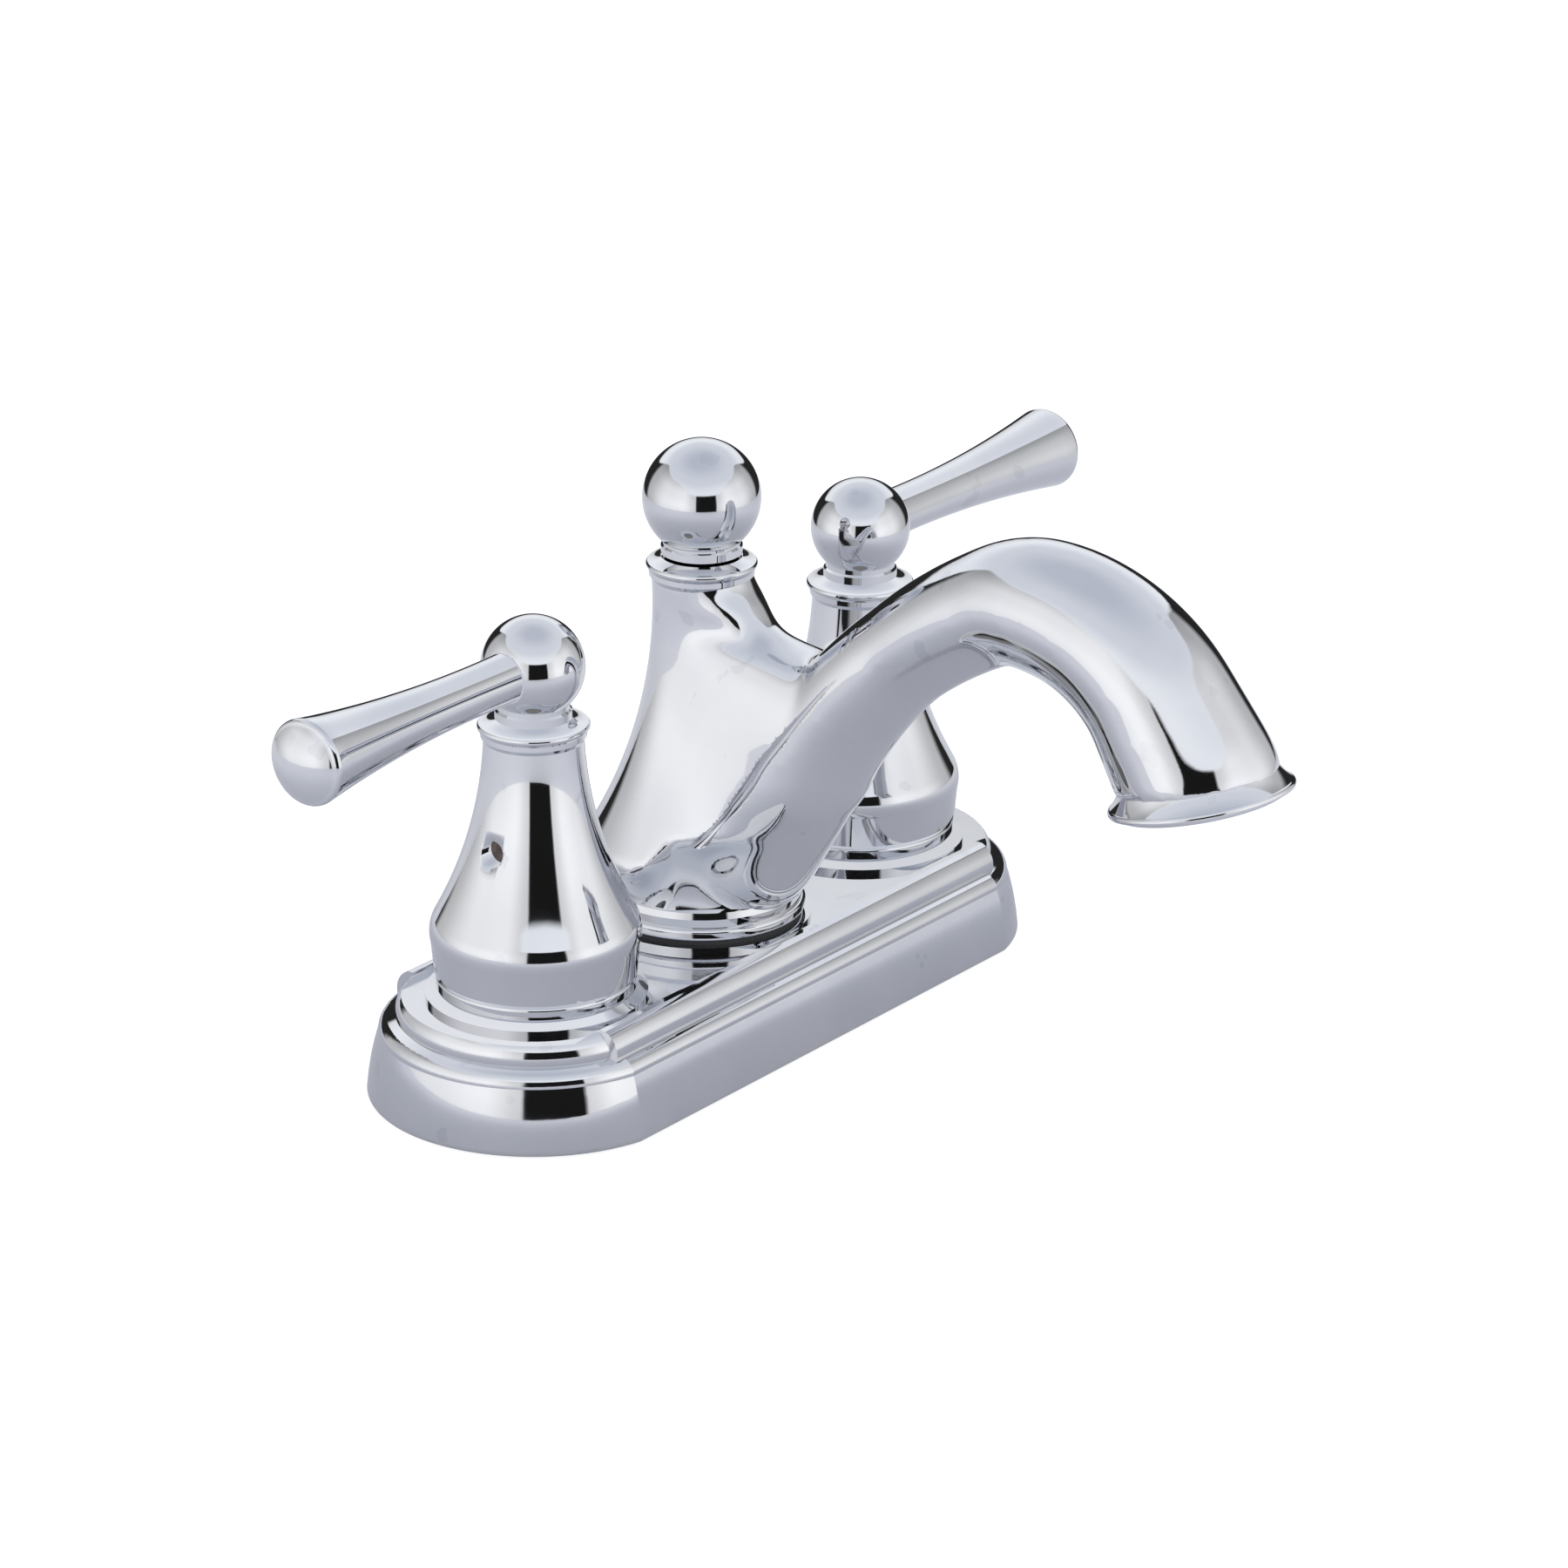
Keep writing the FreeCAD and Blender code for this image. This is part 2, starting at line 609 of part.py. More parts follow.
# Valve, handle and fixings of each side
for side in SIDES:
    seal = new_body(side + "_seat_seal")
    raise_up(seal, side + "_seal_ring",
             rounds((CARTRIDGE_RADIUS + " - seal_inset",), ("shank_port + seal_inset",)),
             "valve_floor", "seal_thickness")
    fixed = new_body(side + "_fixed_disc")
    raise_up(fixed, side + "_fixed_plate",
             rounds(("disc_radius",), ("disc_port_radius", "0", "disc_port_offset"),
                    ("disc_port_radius", "0", "-disc_port_offset")), SEAL_TOP, "disc_thickness")
    moving = new_body(side + "_moving_disc")
    raise_up(moving, side + "_moving_plate",
             rounds(("disc_radius",), ("disc_port_radius", "disc_port_offset", "0"),
                    ("disc_port_radius", "-disc_port_offset", "0")), FIXED_TOP, "disc_thickness")

    stem = new_body(side + "_stem")
    turn(stem, side + "_stem_turning", [
        ("0", MOVING_TOP),
        ("disc_radius", MOVING_TOP),
        ("disc_radius", FLANGE_TOP),
        ("stem_radius", FLANGE_TOP),
        ("stem_radius", "stem_top - edge_round"),
        ("stem_radius - edge_round", "stem_top"),
        ("0", "stem_top"),
    ])

    cartridge = new_body(side + "_cartridge")
    turn(cartridge, side + "_cartridge_turning", [
        ("disc_radius + fit_gap", SEAL_TOP),
        (CARTRIDGE_RADIUS, SEAL_TOP),
        (CARTRIDGE_RADIUS, "valve_neck_top"),
        ("valve_neck_radius - edge_round", "valve_neck_top"),
        ("valve_neck_radius - edge_round", FLANGE_LEVEL),
        ("cartridge_neck_radius", FLANGE_LEVEL),
        ("cartridge_neck_radius", "cartridge_top"),
        ("stem_radius + fit_gap", "cartridge_top"),
        ("stem_radius + fit_gap", "oring_height + oring_radius + fit_gap"),
        ("stem_radius + 2 * oring_radius + 2 * fit_gap", "oring_height + oring_radius + fit_gap"),
        ("stem_radius + 2 * oring_radius + 2 * fit_gap", "oring_height - oring_radius - fit_gap"),
        ("stem_radius + fit_gap", "oring_height - oring_radius - fit_gap"),
        ("stem_radius + fit_gap", FLANGE_TOP + " + fit_gap"),
        ("disc_radius + fit_gap", FLANGE_TOP + " + fit_gap"),
    ])
    oring = doc.addObject("Part::Torus", side + "_stem_oring")
    bind(oring, "Radius1", "stem_radius + fit_gap + oring_radius")
    bind(oring, "Radius2", "oring_radius")
    bind(oring, "Placement.Base.z", "oring_height")

    bonnet = nut(side + "_bonnet_nut", "bonnet_flats", NECK_HOLE, "valve_neck_top - bonnet_skirt",
                 "bonnet_skirt + cartridge_flange")
    raise_up(bonnet, side + "_bonnet_crown",
             rounds(("bonnet_flats / 2",), ("cartridge_neck_radius + thread_gap",)),
             FLANGE_LEVEL, "bonnet_crown")
    locknut = nut(side + "_base_locknut", "locknut_flats", NECK_HOLE, "base_top_height", "locknut_height")

    handle = new_body(side + "_handle")
    ring_top = HANDLE_FOOT + " + handle_ring_height"
    bell_top = "collar_height - collar_bead_drop"
    neck_foot = "collar_height + collar_dish_rise"
    turn(handle, side + "_handle_turning", [
        ("0", HANDLE_FOOT),
        ("handle_ring_radius - edge_round", HANDLE_FOOT, "edge_round"),
        ("handle_ring_radius", HANDLE_FOOT + " + edge_round"),
        ("handle_ring_radius", ring_top + " - edge_round", "edge_round"),
        ("handle_ring_radius - handle_quirk", ring_top),
        ("handle_ring_radius + handle_quirk / 2", ring_top + " + handle_quirk"),
        ("belly_side_radius", "belly_side_height", "belly_arc_radius"),
        ("bell_foot_radius", "bell_foot_height", "-bell_curve_radius"),
        ("bell_top_radius", bell_top),
        ("bell_top_radius + collar_bead_swell", bell_top + " + collar_edge"),
        ("bell_top_radius + collar_bead_swell", "collar_height - collar_edge"),
        ("collar_radius - collar_edge / 2", "collar_height - collar_edge / 2", "collar_edge"),
        ("collar_radius - collar_edge / 2", "collar_height + collar_edge", "-collar_dish_radius"),
        ("neck_radius", neck_foot),
        ("neck_radius", neck_foot + " + neck_ring_height"),
        ("neck_radius - neck_quirk", neck_foot + " + neck_ring_height + neck_quirk"),
        ("neck_radius - neck_quirk",
         BALL_HEIGHT + " - sqrt(ball_radius ^ 2 - (neck_radius - neck_quirk) ^ 2)", "ball_radius"),
        ("ball_radius", BALL_HEIGHT, "ball_radius"),
        ("0", BALL_HEIGHT + " + ball_radius"),
    ])
    turn(handle, side + "_handle_hollow", [
        ("0", HANDLE_FOOT + " - tool_overrun"),
        ("handle_ring_radius - cavity_wall", HANDLE_FOOT + " - tool_overrun"),
        ("handle_ring_radius - cavity_wall", "cavity_shoulder"),
        ("cavity_top_radius", "cavity_top"),
        ("stem_radius + fit_gap", "cavity_top"),
        ("stem_radius + fit_gap", "stem_top + edge_round"),
        ("0", "stem_top + edge_round"),
    ], cut=True)
    for name, radius, level, start in (
            ("lever_seat", "lever_neck_radius + fit_gap", BALL_HEIGHT, "lever_seat"),
            ("lever_socket", "lever_tenon_radius + fit_gap", BALL_HEIGHT,
             "lever_seat - lever_tenon_length - rest_gap"),
            ("screw_hole", "set_screw_radius + thread_gap", "set_screw_height", "0")):
        place = FreeCAD.Placement(FreeCAD.Vector(0, 0, SIDES[side] * mm(start)), FreeCAD.Rotation())
        sketch = new_sketch(handle, "%s_%s_profile" % (side, name), "YZ_Plane", place)
        bind(sketch, "AttachmentOffset.Base.z", "%d * (%s)" % (SIDES[side], start))
        draw_circle(sketch, radius, "0", level)
        doc.recompute()
        before = handle.Shape.Volume
        hole = handle.newObject("PartDesign::Pocket", "%s_%s" % (side, name))
        hole.Profile = sketch
        hole.Reversed = SIDES[side] > 0
        bind(hole, "Length", "belly_side_radius * 2")
        settle(handle, hole, True, before)

    lever = new_body(side + "_lever")
    tip = "lever_reach"
    turn(lever, side + "_lever_turning", [
        ("0", "lever_seat - lever_tenon_length"),
        ("lever_tenon_radius", "lever_seat - lever_tenon_length"),
        ("lever_tenon_radius", "lever_seat"),
        ("lever_neck_radius - neck_quirk", "lever_seat"),
        ("lever_neck_radius", "lever_seat + neck_quirk", "-lever_flare_radius"),
        ("lever_tip_radius", tip, "1.5 * edge_round"),
        ("lever_tip_radius - edge_round", tip + " + 1.5 * edge_round",
         "((lever_tip_radius - edge_round) ^ 2 + lever_dome ^ 2) / 2 / lever_dome"),
        ("0", tip + " + 1.5 * edge_round + lever_dome"),
    ])
    lever.Placement.Rotation = FreeCAD.Rotation(FreeCAD.Vector(0, 1, 0), 90 * SIDES[side])
    bind(lever, "Placement.Base.z", BALL_HEIGHT)

    screw = new_body(side + "_set_screw")
    raise_up(screw, side + "_screw_shank", rounds(("set_screw_radius",)), "stem_radius", "set_screw_length")
    raise_up(screw, side + "_screw_socket",
             lambda sketch: draw_hexagon(sketch, "2 * set_screw_socket"),
             "stem_radius + set_screw_length / 2", "set_screw_length / 2 + tool_overrun", cut=True)
    screw.Placement.Rotation = FreeCAD.Rotation(FreeCAD.Vector(0, 1, 0), 90 * SIDES[side])
    bind(screw, "Placement.Base.z", "set_screw_height")

    washer = new_body(side + "_mounting_washer")
    raise_up(washer, side + "_washer_ring", rounds(("mount_washer_radius",), ("shank_radius + rest_gap",)),
             "-deck_thickness - mount_washer_thickness", "mount_washer_thickness")
    mounting = nut(side + "_mounting_nut", "mount_nut_flats", "shank_radius + thread_gap",
                   "-deck_thickness - mount_washer_thickness - mount_nut_height", "mount_nut_height")

    def draw_wings(sketch):
        for sign in ("-", ""):
            near, far = "mount_nut_flats / 2 - tool_overrun", "wing_reach"
            across = (near, far) if not sign else ("-" + far, "-(%s)" % near)
            draw_outline(sketch, [
                (across[0], "-wing_thickness / 2"), (across[1], "-wing_thickness / 2"),
                (across[1], "wing_thickness / 2"), (across[0], "wing_thickness / 2"),
            ])
    raise_up(mounting, side + "_nut_wings", draw_wings,
             "-deck_thickness - mount_washer_thickness - mount_nut_height", "mount_nut_height * 0.7")

    for piece in (seal, fixed, moving, stem, cartridge, oring, bonnet, locknut, handle, lever, screw,
                  washer, mounting):
        at_side(piece, side)
        hand_in(piece, piece.Label)


# Spout
# One hollow casting: a bell-shaped pedestal with a collar, and an arm that springs from its front,
# arches over and ends in a flared lip. A hood carries the bell's surface out over the arm's root,
# which leaves the slanting groove along each side.
def heading(angle):
    """The arm's way, from an angle above the level: forward and up."""
    return FreeCAD.Vector(0, -math.cos(math.radians(angle)), math.sin(math.radians(angle)))


def above(angle):
    """The direction square to the way, on its upper side."""
    return FreeCAD.Vector(0, math.sin(math.radians(angle)), math.cos(math.radians(angle)))


ROOT_ANGLE = mm("arch_root_angle")
SWEEP_END = mm("arch_root_angle - arch_sweep_turn")
root = FreeCAD.Vector(0, -mm("arch_root_y"), mm("arch_root_height"))
rise_end = root + heading(ROOT_ANGLE) * mm("arch_rise")
sweep_centre = rise_end - above(ROOT_ANGLE) * mm("arch_sweep_radius")
sweep_end = sweep_centre + above(SWEEP_END) * mm("arch_sweep_radius")
crest_centre = sweep_end - above(SWEEP_END) * mm("arch_crest_bend")
crest = crest_centre + above(0) * mm("arch_crest_bend")
fall_centre = crest - above(0) * mm("arch_fall_bend")


def on_sweep(angle):
    return sweep_centre + above(angle) * mm("arch_sweep_radius")


def on_crest(angle):
    return crest_centre + above(angle) * mm("arch_crest_bend")


def on_rise(share):
    return root + (rise_end - root) * share


def on_fall(angle):
    return fall_centre + above(angle) * mm("arch_fall_bend")


SWEEP_MIDDLE = (ROOT_ANGLE + SWEEP_END) / 2
FALL_END = -mm("arch_fall_turn")
OUTLET_ANGLE = -mm("arch_outlet_angle")
outlet = on_fall(FALL_END) + heading(-mm("arch_drop_angle")) * mm("arch_drop")


def on_drop(angle):
    share = (angle - FALL_END) / (OUTLET_ANGLE - FALL_END)
    return on_fall(FALL_END) + (outlet - on_fall(FALL_END)) * share


def section(body, name, place, angle, radius):
    """A round section of the arm, square to its way."""
    turned = FreeCAD.Placement(FreeCAD.Vector(0, place.z, -place.y),
                               FreeCAD.Rotation(FreeCAD.Vector(1, 0, 0), -angle))
    sketch = new_sketch(body, name, "XZ_Plane", turned)
    draw_circle(sketch, radius)
    return sketch


def loft(body, name, sections):
    doc.recompute()
    feature = body.newObject("PartDesign::AdditiveLoft", name)
    feature.Profile = sections[0]
    feature.Sections = sections[1:]
    feature.Ruled = False
    for sketch in sections:
        sketch.Visibility = False
    doc.recompute()
    return feature


pedestal = new_body("pedestal")
collar_foot = "spout_collar_height - collar_bead_drop"
turn(pedestal, "pedestal_turning", [
    ("0", SPOUT_FOOT),
    ("foot_radius - edge_round", SPOUT_FOOT, "edge_round"),
    ("foot_radius", SPOUT_FOOT + " + edge_round"),
    ("foot_radius", SPOUT_FOOT + " + foot_ring_height - edge_round", "edge_round"),
    ("foot_radius - edge_round", SPOUT_FOOT + " + foot_ring_height"),
    ("waist_radius", "waist_height", "-pedestal_belly_arc"),
    ("pedestal_belly_radius", "pedestal_belly_height", "pedestal_belly_arc"),
    ("flank_foot_radius", "flank_foot_height", "-flank_curve_radius"),
    ("flank_top_radius", collar_foot),
    ("flank_top_radius + collar_bead_swell", collar_foot + " + collar_edge"),
    ("flank_top_radius + collar_bead_swell", "spout_collar_height - collar_edge"),
    ("spout_collar_radius - collar_edge / 2", "spout_collar_height - collar_edge / 2", "collar_edge"),
    ("spout_collar_radius - collar_edge / 2", "spout_collar_height + collar_edge", "-collar_dish_radius"),
    ("spout_neck_radius", "spout_collar_height + collar_dish_rise"),
    ("0", "spout_collar_height + collar_dish_rise"),
])

arch = new_body("arch")
arch_sections = [
    section(arch, "arch_heel_%d" % back, root - heading(ROOT_ANGLE) * (mm("arch_root_radius") * back / 10),
            ROOT_ANGLE, "arch_root_radius * sqrt(1 - %g)" % (back / 10) ** 2)
    for back in (8, 4)
]
for name, on_way, first, last, start_radius, end_radius, steps in (
        ("rise", on_rise, 0, 1, "arch_root_radius", "arch_rise_radius", 3),
        ("rear_sweep", on_sweep, ROOT_ANGLE, SWEEP_MIDDLE, "arch_rise_radius", "arch_waist_radius", 2),
        ("front_sweep", on_sweep, SWEEP_MIDDLE, SWEEP_END, "arch_waist_radius", "arch_shoulder_radius", 2),
        ("crest", on_crest, SWEEP_END, 0, "arch_shoulder_radius", "arch_crest_radius", 1),
        ("fall", on_fall, 0, FALL_END, "arch_crest_radius", "arch_fall_radius", 3),
        ("drop", on_drop, FALL_END, OUTLET_ANGLE, "arch_fall_radius", "arch_outlet_radius", 2)):
    for step in range(steps):
        share = step / steps
        way = first + (last - first) * share
        arch_sections.append(section(
            arch, "arch_%s_%d" % (name, step), on_way(way), ROOT_ANGLE if name == "rise" else way,
            "%s + (%s - %s) * %g" % (start_radius, end_radius, start_radius, share)))
arch_sections.append(section(arch, "arch_end", outlet, OUTLET_ANGLE, "arch_outlet_radius"))
loft(arch, "arch_loft", arch_sections)

hood = new_body("hood")
hood_crown = FreeCAD.Vector(0, -mm("hood_reach"), mm("hood_height"))
hood_tip = on_sweep(SWEEP_MIDDLE) - above(SWEEP_MIDDLE) * mm("hood_sink")
loft(hood, "hood_loft", [
    section(hood, "hood_root", FreeCAD.Vector(0, 0, mm("hood_height - hood_radius / 2")),
            mm("hood_root_angle"), "hood_radius * 0.9"),
    section(hood, "hood_front", FreeCAD.Vector(0, -mm("hood_reach / 2"), mm("hood_height - hood_radius / 3")),
            mm("hood_front_angle"), "hood_radius * 1.02"),
    section(hood, "hood_crown", hood_crown, mm("hood_crown_angle"), "hood_radius"),
    section(hood, "hood_end", (hood_crown + hood_tip) * 0.5, mm("hood_end_angle"),
            "(hood_radius + arch_waist_radius - hood_sink) / 2"),
    section(hood, "hood_tip", hood_tip, SWEEP_MIDDLE, "arch_waist_radius - hood_sink"),
])

# The foot has a threaded sleeve that passes through the deck of the base
sleeve = new_body("spout_sleeve")
raise_up(sleeve, "sleeve_shank", rounds(("sleeve_radius", "0", "-inlet_offset")), "sleeve_bottom",
         SPOUT_FOOT + " - sleeve_bottom + tool_overrun")

# Flared lip, turned about the outlet's axis
lip_turn = FreeCAD.Rotation(FreeCAD.Vector(1, 0, 0), -(OUTLET_ANGLE + 90))
lip_place = FreeCAD.Placement(FreeCAD.Vector(0, outlet.z, -outlet.y), lip_turn)
lip_drop = "lip_flare_height + lip_rim_height"
lip = new_body("lip")
turn(lip, "lip_turning", [
    ("0", "-(%s)" % lip_drop),
    ("lip_rim_radius - edge_round", "-(%s)" % lip_drop, "edge_round"),
    ("lip_rim_radius", "-(%s) + edge_round" % lip_drop),
    ("lip_radius", "-lip_flare_height - edge_round", "edge_round"),
    ("lip_radius - edge_round / 2", "-lip_flare_height + edge_round / 2", "-3 * lip_flare_height"),
    ("lip_neck_radius", "0"),
    ("lip_neck_radius", "edge_round"),
    ("0", "edge_round"),
], offset=lip_place)

spout_solid = doc.addObject("Part::MultiFuse", "spout_solid")
spout_solid.Shapes = [pedestal, arch, hood, sleeve, lip]
doc.recompute()


# The saddle between the pedestal's flank and the hood is rounded
def saddle_height(edge):
    """How high an edge between the flank and the hood reaches, and 0 for any other edge."""
    faces = spout_solid.Shape.ancestorsOfType(edge, Part.Face)
    kinds = sorted(type(face.Surface).__name__ for face in faces)
    return edge.BoundBox.ZMax if kinds == ["BSplineSurface", "Toroid"] else 0


saddle_heights = [saddle_height(edge) for edge in spout_solid.Shape.Edges]
saddle = saddle_heights.index(max(saddle_heights))
spout_rounded = doc.addObject("Part::Fillet", "spout_rounded")
spout_rounded.Base = spout_solid
spout_rounded.Edges = [(saddle + 1, mm("saddle_round"), mm("saddle_round"))]

# Waterway: up the sleeve and along the arm to the outlet's chamber
waterway = new_body("spout_waterway")
bore_path = new_sketch(waterway, "waterway_path", "YZ_Plane")
knee = root + heading(ROOT_ANGLE) * ((mm("inlet_offset") + root.y) / -heading(ROOT_ANGLE).y)
knee_radius = mm("spout_bore") * 2
knee_tangent = knee_radius * math.tan(math.radians(90 - ROOT_ANGLE) / 2)


def in_path(place):
    return FreeCAD.Vector(place.y, place.z, 0)


bore_start = FreeCAD.Vector(0, -mm("inlet_offset"), mm(SPOUT_FOOT))
knee_start = knee - FreeCAD.Vector(0, 0, knee_tangent)
knee_end = knee + heading(ROOT_ANGLE) * knee_tangent
chamber = on_fall(FALL_END)
bore_end = chamber + heading(FALL_END) * (mm("arch_drop") * 0.6)
for edge in (
        Part.LineSegment(in_path(bore_start), in_path(knee_start)),
        arc_between(in_path(knee_start), in_path(knee_end), knee_radius)[0],
        Part.LineSegment(in_path(knee_end), in_path(rise_end)),
        arc_between(in_path(rise_end), in_path(sweep_end), mm("arch_sweep_radius"))[0],
        arc_between(in_path(sweep_end), in_path(crest), mm("arch_crest_bend"))[0],
        arc_between(in_path(crest), in_path(chamber), mm("arch_fall_bend"))[0],
        Part.LineSegment(in_path(chamber), in_path(bore_end))):
    bore_path.addGeometry(edge)
bore_place = FreeCAD.Placement(FreeCAD.Vector(0, 0, bore_start.z), FreeCAD.Rotation())
bore_profile = new_sketch(waterway, "waterway_profile", "XY_Plane", bore_place)
draw_circle(bore_profile, "spout_bore", "0", "-inlet_offset")
doc.recompute()
pipe = waterway.newObject("PartDesign::AdditivePipe", "waterway_pipe")
pipe.Profile = bore_profile
pipe.Spine = (bore_path, [])
doc.recompute()

sleeve_bore = new_body("spout_sleeve_bore")
raise_up(sleeve_bore, "sleeve_drilling", rounds(("sleeve_bore", "0", "-inlet_offset")),
         "sleeve_bottom - tool_overrun", SPOUT_FOOT + " - sleeve_bottom + 2 * tool_overrun")
raise_up(sleeve_bore, "sleeve_counterbore",
         rounds(("riser_radius + 2 * (fit_gap + riser_oring_radius)", "0", "-inlet_offset")),
         "sleeve_bottom - tool_overrun", "tool_overrun + 2 * (fit_gap + riser_oring_radius)")
outlet_chamber = new_body("outlet_chamber")
turn(outlet_chamber, "chamber_turning", [
    ("0", "-(%s) - tool_overrun" % lip_drop),
    ("aerator_radius + thread_gap", "-(%s) - tool_overrun" % lip_drop),
    ("aerator_radius + thread_gap", "outlet_depth - (%s)" % lip_drop),
    ("0", "outlet_depth - (%s)" % lip_drop),
], offset=lip_place)
rod_guide = new_body("rod_guide")
raise_up(rod_guide, "rod_drilling", rounds(("rod_radius + rod_gap",)), SPOUT_FOOT + " - tool_overrun",
         FINIAL_HEIGHT)

spout_spaces = doc.addObject("Part::MultiFuse", "spout_spaces")
spout_spaces.Shapes = [waterway, sleeve_bore, outlet_chamber, rod_guide]
hand_in(two_shape("Part::Cut", "spout_casting", spout_rounded, spout_spaces), "spout_body")

spout_gasket = new_body("spout_gasket")
raise_up(spout_gasket, "spout_gasket_sheet",
         rounds(("foot_radius - edge_round",), ("sleeve_radius + thread_gap", "0", "-inlet_offset"),
                ("rod_radius + 2 * rod_gap",)), "base_top_height", "spout_gasket")
hand_in(spout_gasket, "spout_gasket")

hand_in(nut("spout_locknut", "sleeve_nut_flats", "sleeve_radius + thread_gap",
            ROOF + " - sleeve_nut_height", "sleeve_nut_height", "0", "-inlet_offset"), "spout_locknut")

riser_oring = doc.addObject("Part::Torus", "riser_oring")
bind(riser_oring, "Radius1", "riser_radius + fit_gap + riser_oring_radius")
bind(riser_oring, "Radius2", "riser_oring_radius")
bind(riser_oring, "Placement.Base.y", "-inlet_offset")
bind(riser_oring, "Placement.Base.z", "sleeve_bottom + riser_oring_radius + fit_gap")
hand_in(riser_oring, "riser_oring")

# Lift rod and its ball
finial = new_body("lift_rod_knob")
turn(finial, "finial_turning", [
    ("0", FINIAL_FOOT),
    ("spout_neck_radius - neck_quirk", FINIAL_FOOT),
    ("spout_neck_radius", FINIAL_FOOT + " + neck_quirk"),
    ("spout_neck_radius", FINIAL_FOOT + " + finial_ring_height - neck_quirk"),
    ("spout_neck_radius - neck_quirk", FINIAL_FOOT + " + finial_ring_height"),
    ("spout_neck_radius - neck_quirk",
     FINIAL_HEIGHT + " - sqrt(finial_radius ^ 2 - (spout_neck_radius - neck_quirk) ^ 2)", "finial_radius"),
    ("finial_radius", FINIAL_HEIGHT, "finial_radius"),
    ("0", FINIAL_HEIGHT + " + finial_radius"),
])
turn(finial, "finial_socket", [
    ("0", FINIAL_FOOT + " - tool_overrun"),
    ("rod_radius + fit_gap", FINIAL_FOOT + " - tool_overrun"),
    ("rod_radius + fit_gap", FINIAL_HEIGHT),
    ("0", FINIAL_HEIGHT),
], cut=True)
hand_in(finial, "lift_rod_knob")

rod = new_body("lift_rod")
turn(rod, "lift_rod_turning", [
    ("0", FINIAL_HEIGHT + " - fit_gap - rod_length"),
    ("rod_radius - edge_round", FINIAL_HEIGHT + " - fit_gap - rod_length"),
    ("rod_radius", FINIAL_HEIGHT + " - fit_gap - rod_length + edge_round"),
    ("rod_radius", FINIAL_HEIGHT + " - fit_gap"),
    ("0", FINIAL_HEIGHT + " - fit_gap"),
])
hand_in(rod, "lift_rod")


# Aerator, on the outlet's axis
def at_outlet(body):
    body.Placement = FreeCAD.Placement(outlet, lip_turn)


MOUTH = "(aerator_recess - %s)" % lip_drop.replace(" + ", " - ")
aerator = new_body("aerator_housing")
turn(aerator, "aerator_turning", [
    ("aerator_bore - aerator_ledge_width", MOUTH),
    ("aerator_radius", MOUTH),
    ("aerator_radius", MOUTH + " + aerator_length"),
    ("aerator_bore", MOUTH + " + aerator_length"),
    ("aerator_bore", MOUTH + " + aerator_ledge"),
    ("aerator_bore - aerator_ledge_width", MOUTH + " + aerator_ledge"),
])
screen = new_body("aerator_screen")


def draw_screen(sketch):
    draw_circle(sketch, "aerator_bore - fit_gap")
    draw_circle(sketch, "screen_hole")
    for ring, count in ((1, 6), (2, 12)):
        for index in range(count):
            angle = 360.0 / count * index
            draw_circle(sketch, "screen_hole", "%d * screen_pitch * cos(%g)" % (ring, angle),
                        "%d * screen_pitch * sin(%g)" % (ring, angle))


raise_up(screen, "screen_plate", draw_screen, MOUTH + " + aerator_ledge", "screen_thickness")
washer = new_body("aerator_washer")
raise_up(washer, "aerator_washer_ring", rounds(("aerator_radius",), ("aerator_bore - aerator_washer_lap",)),
         MOUTH + " + aerator_length", "aerator_washer")
for piece in (aerator, screen, washer):
    at_outlet(piece)
    hand_in(piece, piece.Label)

# Check every object and write each node
doc.recompute()
for thing in doc.Objects:
    if "Invalid" in thing.State or "Error" in thing.State:
        raise RuntimeError("%s failed: %s" % (thing.Name, thing.State))
for node in nodes:
    shape = node.Shape
    if shape.isNull() or not shape.isValid() or len(shape.Solids) != 1:
        raise RuntimeError("%s has no valid shape" % node.Label)
    shape.exportStep("parts/%s.step" % node.Label)
    print("%-22s solids %d  volume %9.1f" % (node.Label, len(shape.Solids), shape.Volume))
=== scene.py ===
from math import cos, pi, radians, sin, tau

import bpy
from mathutils import Matrix, Vector


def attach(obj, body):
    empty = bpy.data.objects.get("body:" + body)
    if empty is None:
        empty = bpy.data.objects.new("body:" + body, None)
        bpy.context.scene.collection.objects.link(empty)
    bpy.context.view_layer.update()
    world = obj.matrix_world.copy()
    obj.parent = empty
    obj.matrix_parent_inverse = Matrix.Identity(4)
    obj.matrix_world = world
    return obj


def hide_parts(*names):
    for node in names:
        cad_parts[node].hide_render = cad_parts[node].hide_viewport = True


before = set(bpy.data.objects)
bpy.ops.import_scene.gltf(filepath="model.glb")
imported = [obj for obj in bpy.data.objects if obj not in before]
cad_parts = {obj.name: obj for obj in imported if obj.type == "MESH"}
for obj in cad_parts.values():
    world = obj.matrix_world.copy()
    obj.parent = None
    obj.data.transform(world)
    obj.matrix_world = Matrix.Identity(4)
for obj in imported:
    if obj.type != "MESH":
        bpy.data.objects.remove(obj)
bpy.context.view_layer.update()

bpy.ops.object.select_all(action="DESELECT")

# The camera looks from the hot side's front, 21 degrees above the deck, through a long lens
# at 1.2 metres, so that the near lever is hardly larger than the far one.
view = bpy.data.cameras.new("camera")
camera = bpy.data.objects.new("camera", view)
bpy.context.scene.collection.objects.link(camera)
camera.location = (-0.89005, -0.68987, 0.47819)
camera.rotation_euler = (radians(90 - 20.973), 0, radians(-52.426))
view.lens = 144
view.sensor_width = 36
view.shift_x = 0.0389
bpy.context.scene.camera = camera
bpy.context.scene.view_settings.view_transform = "Standard"

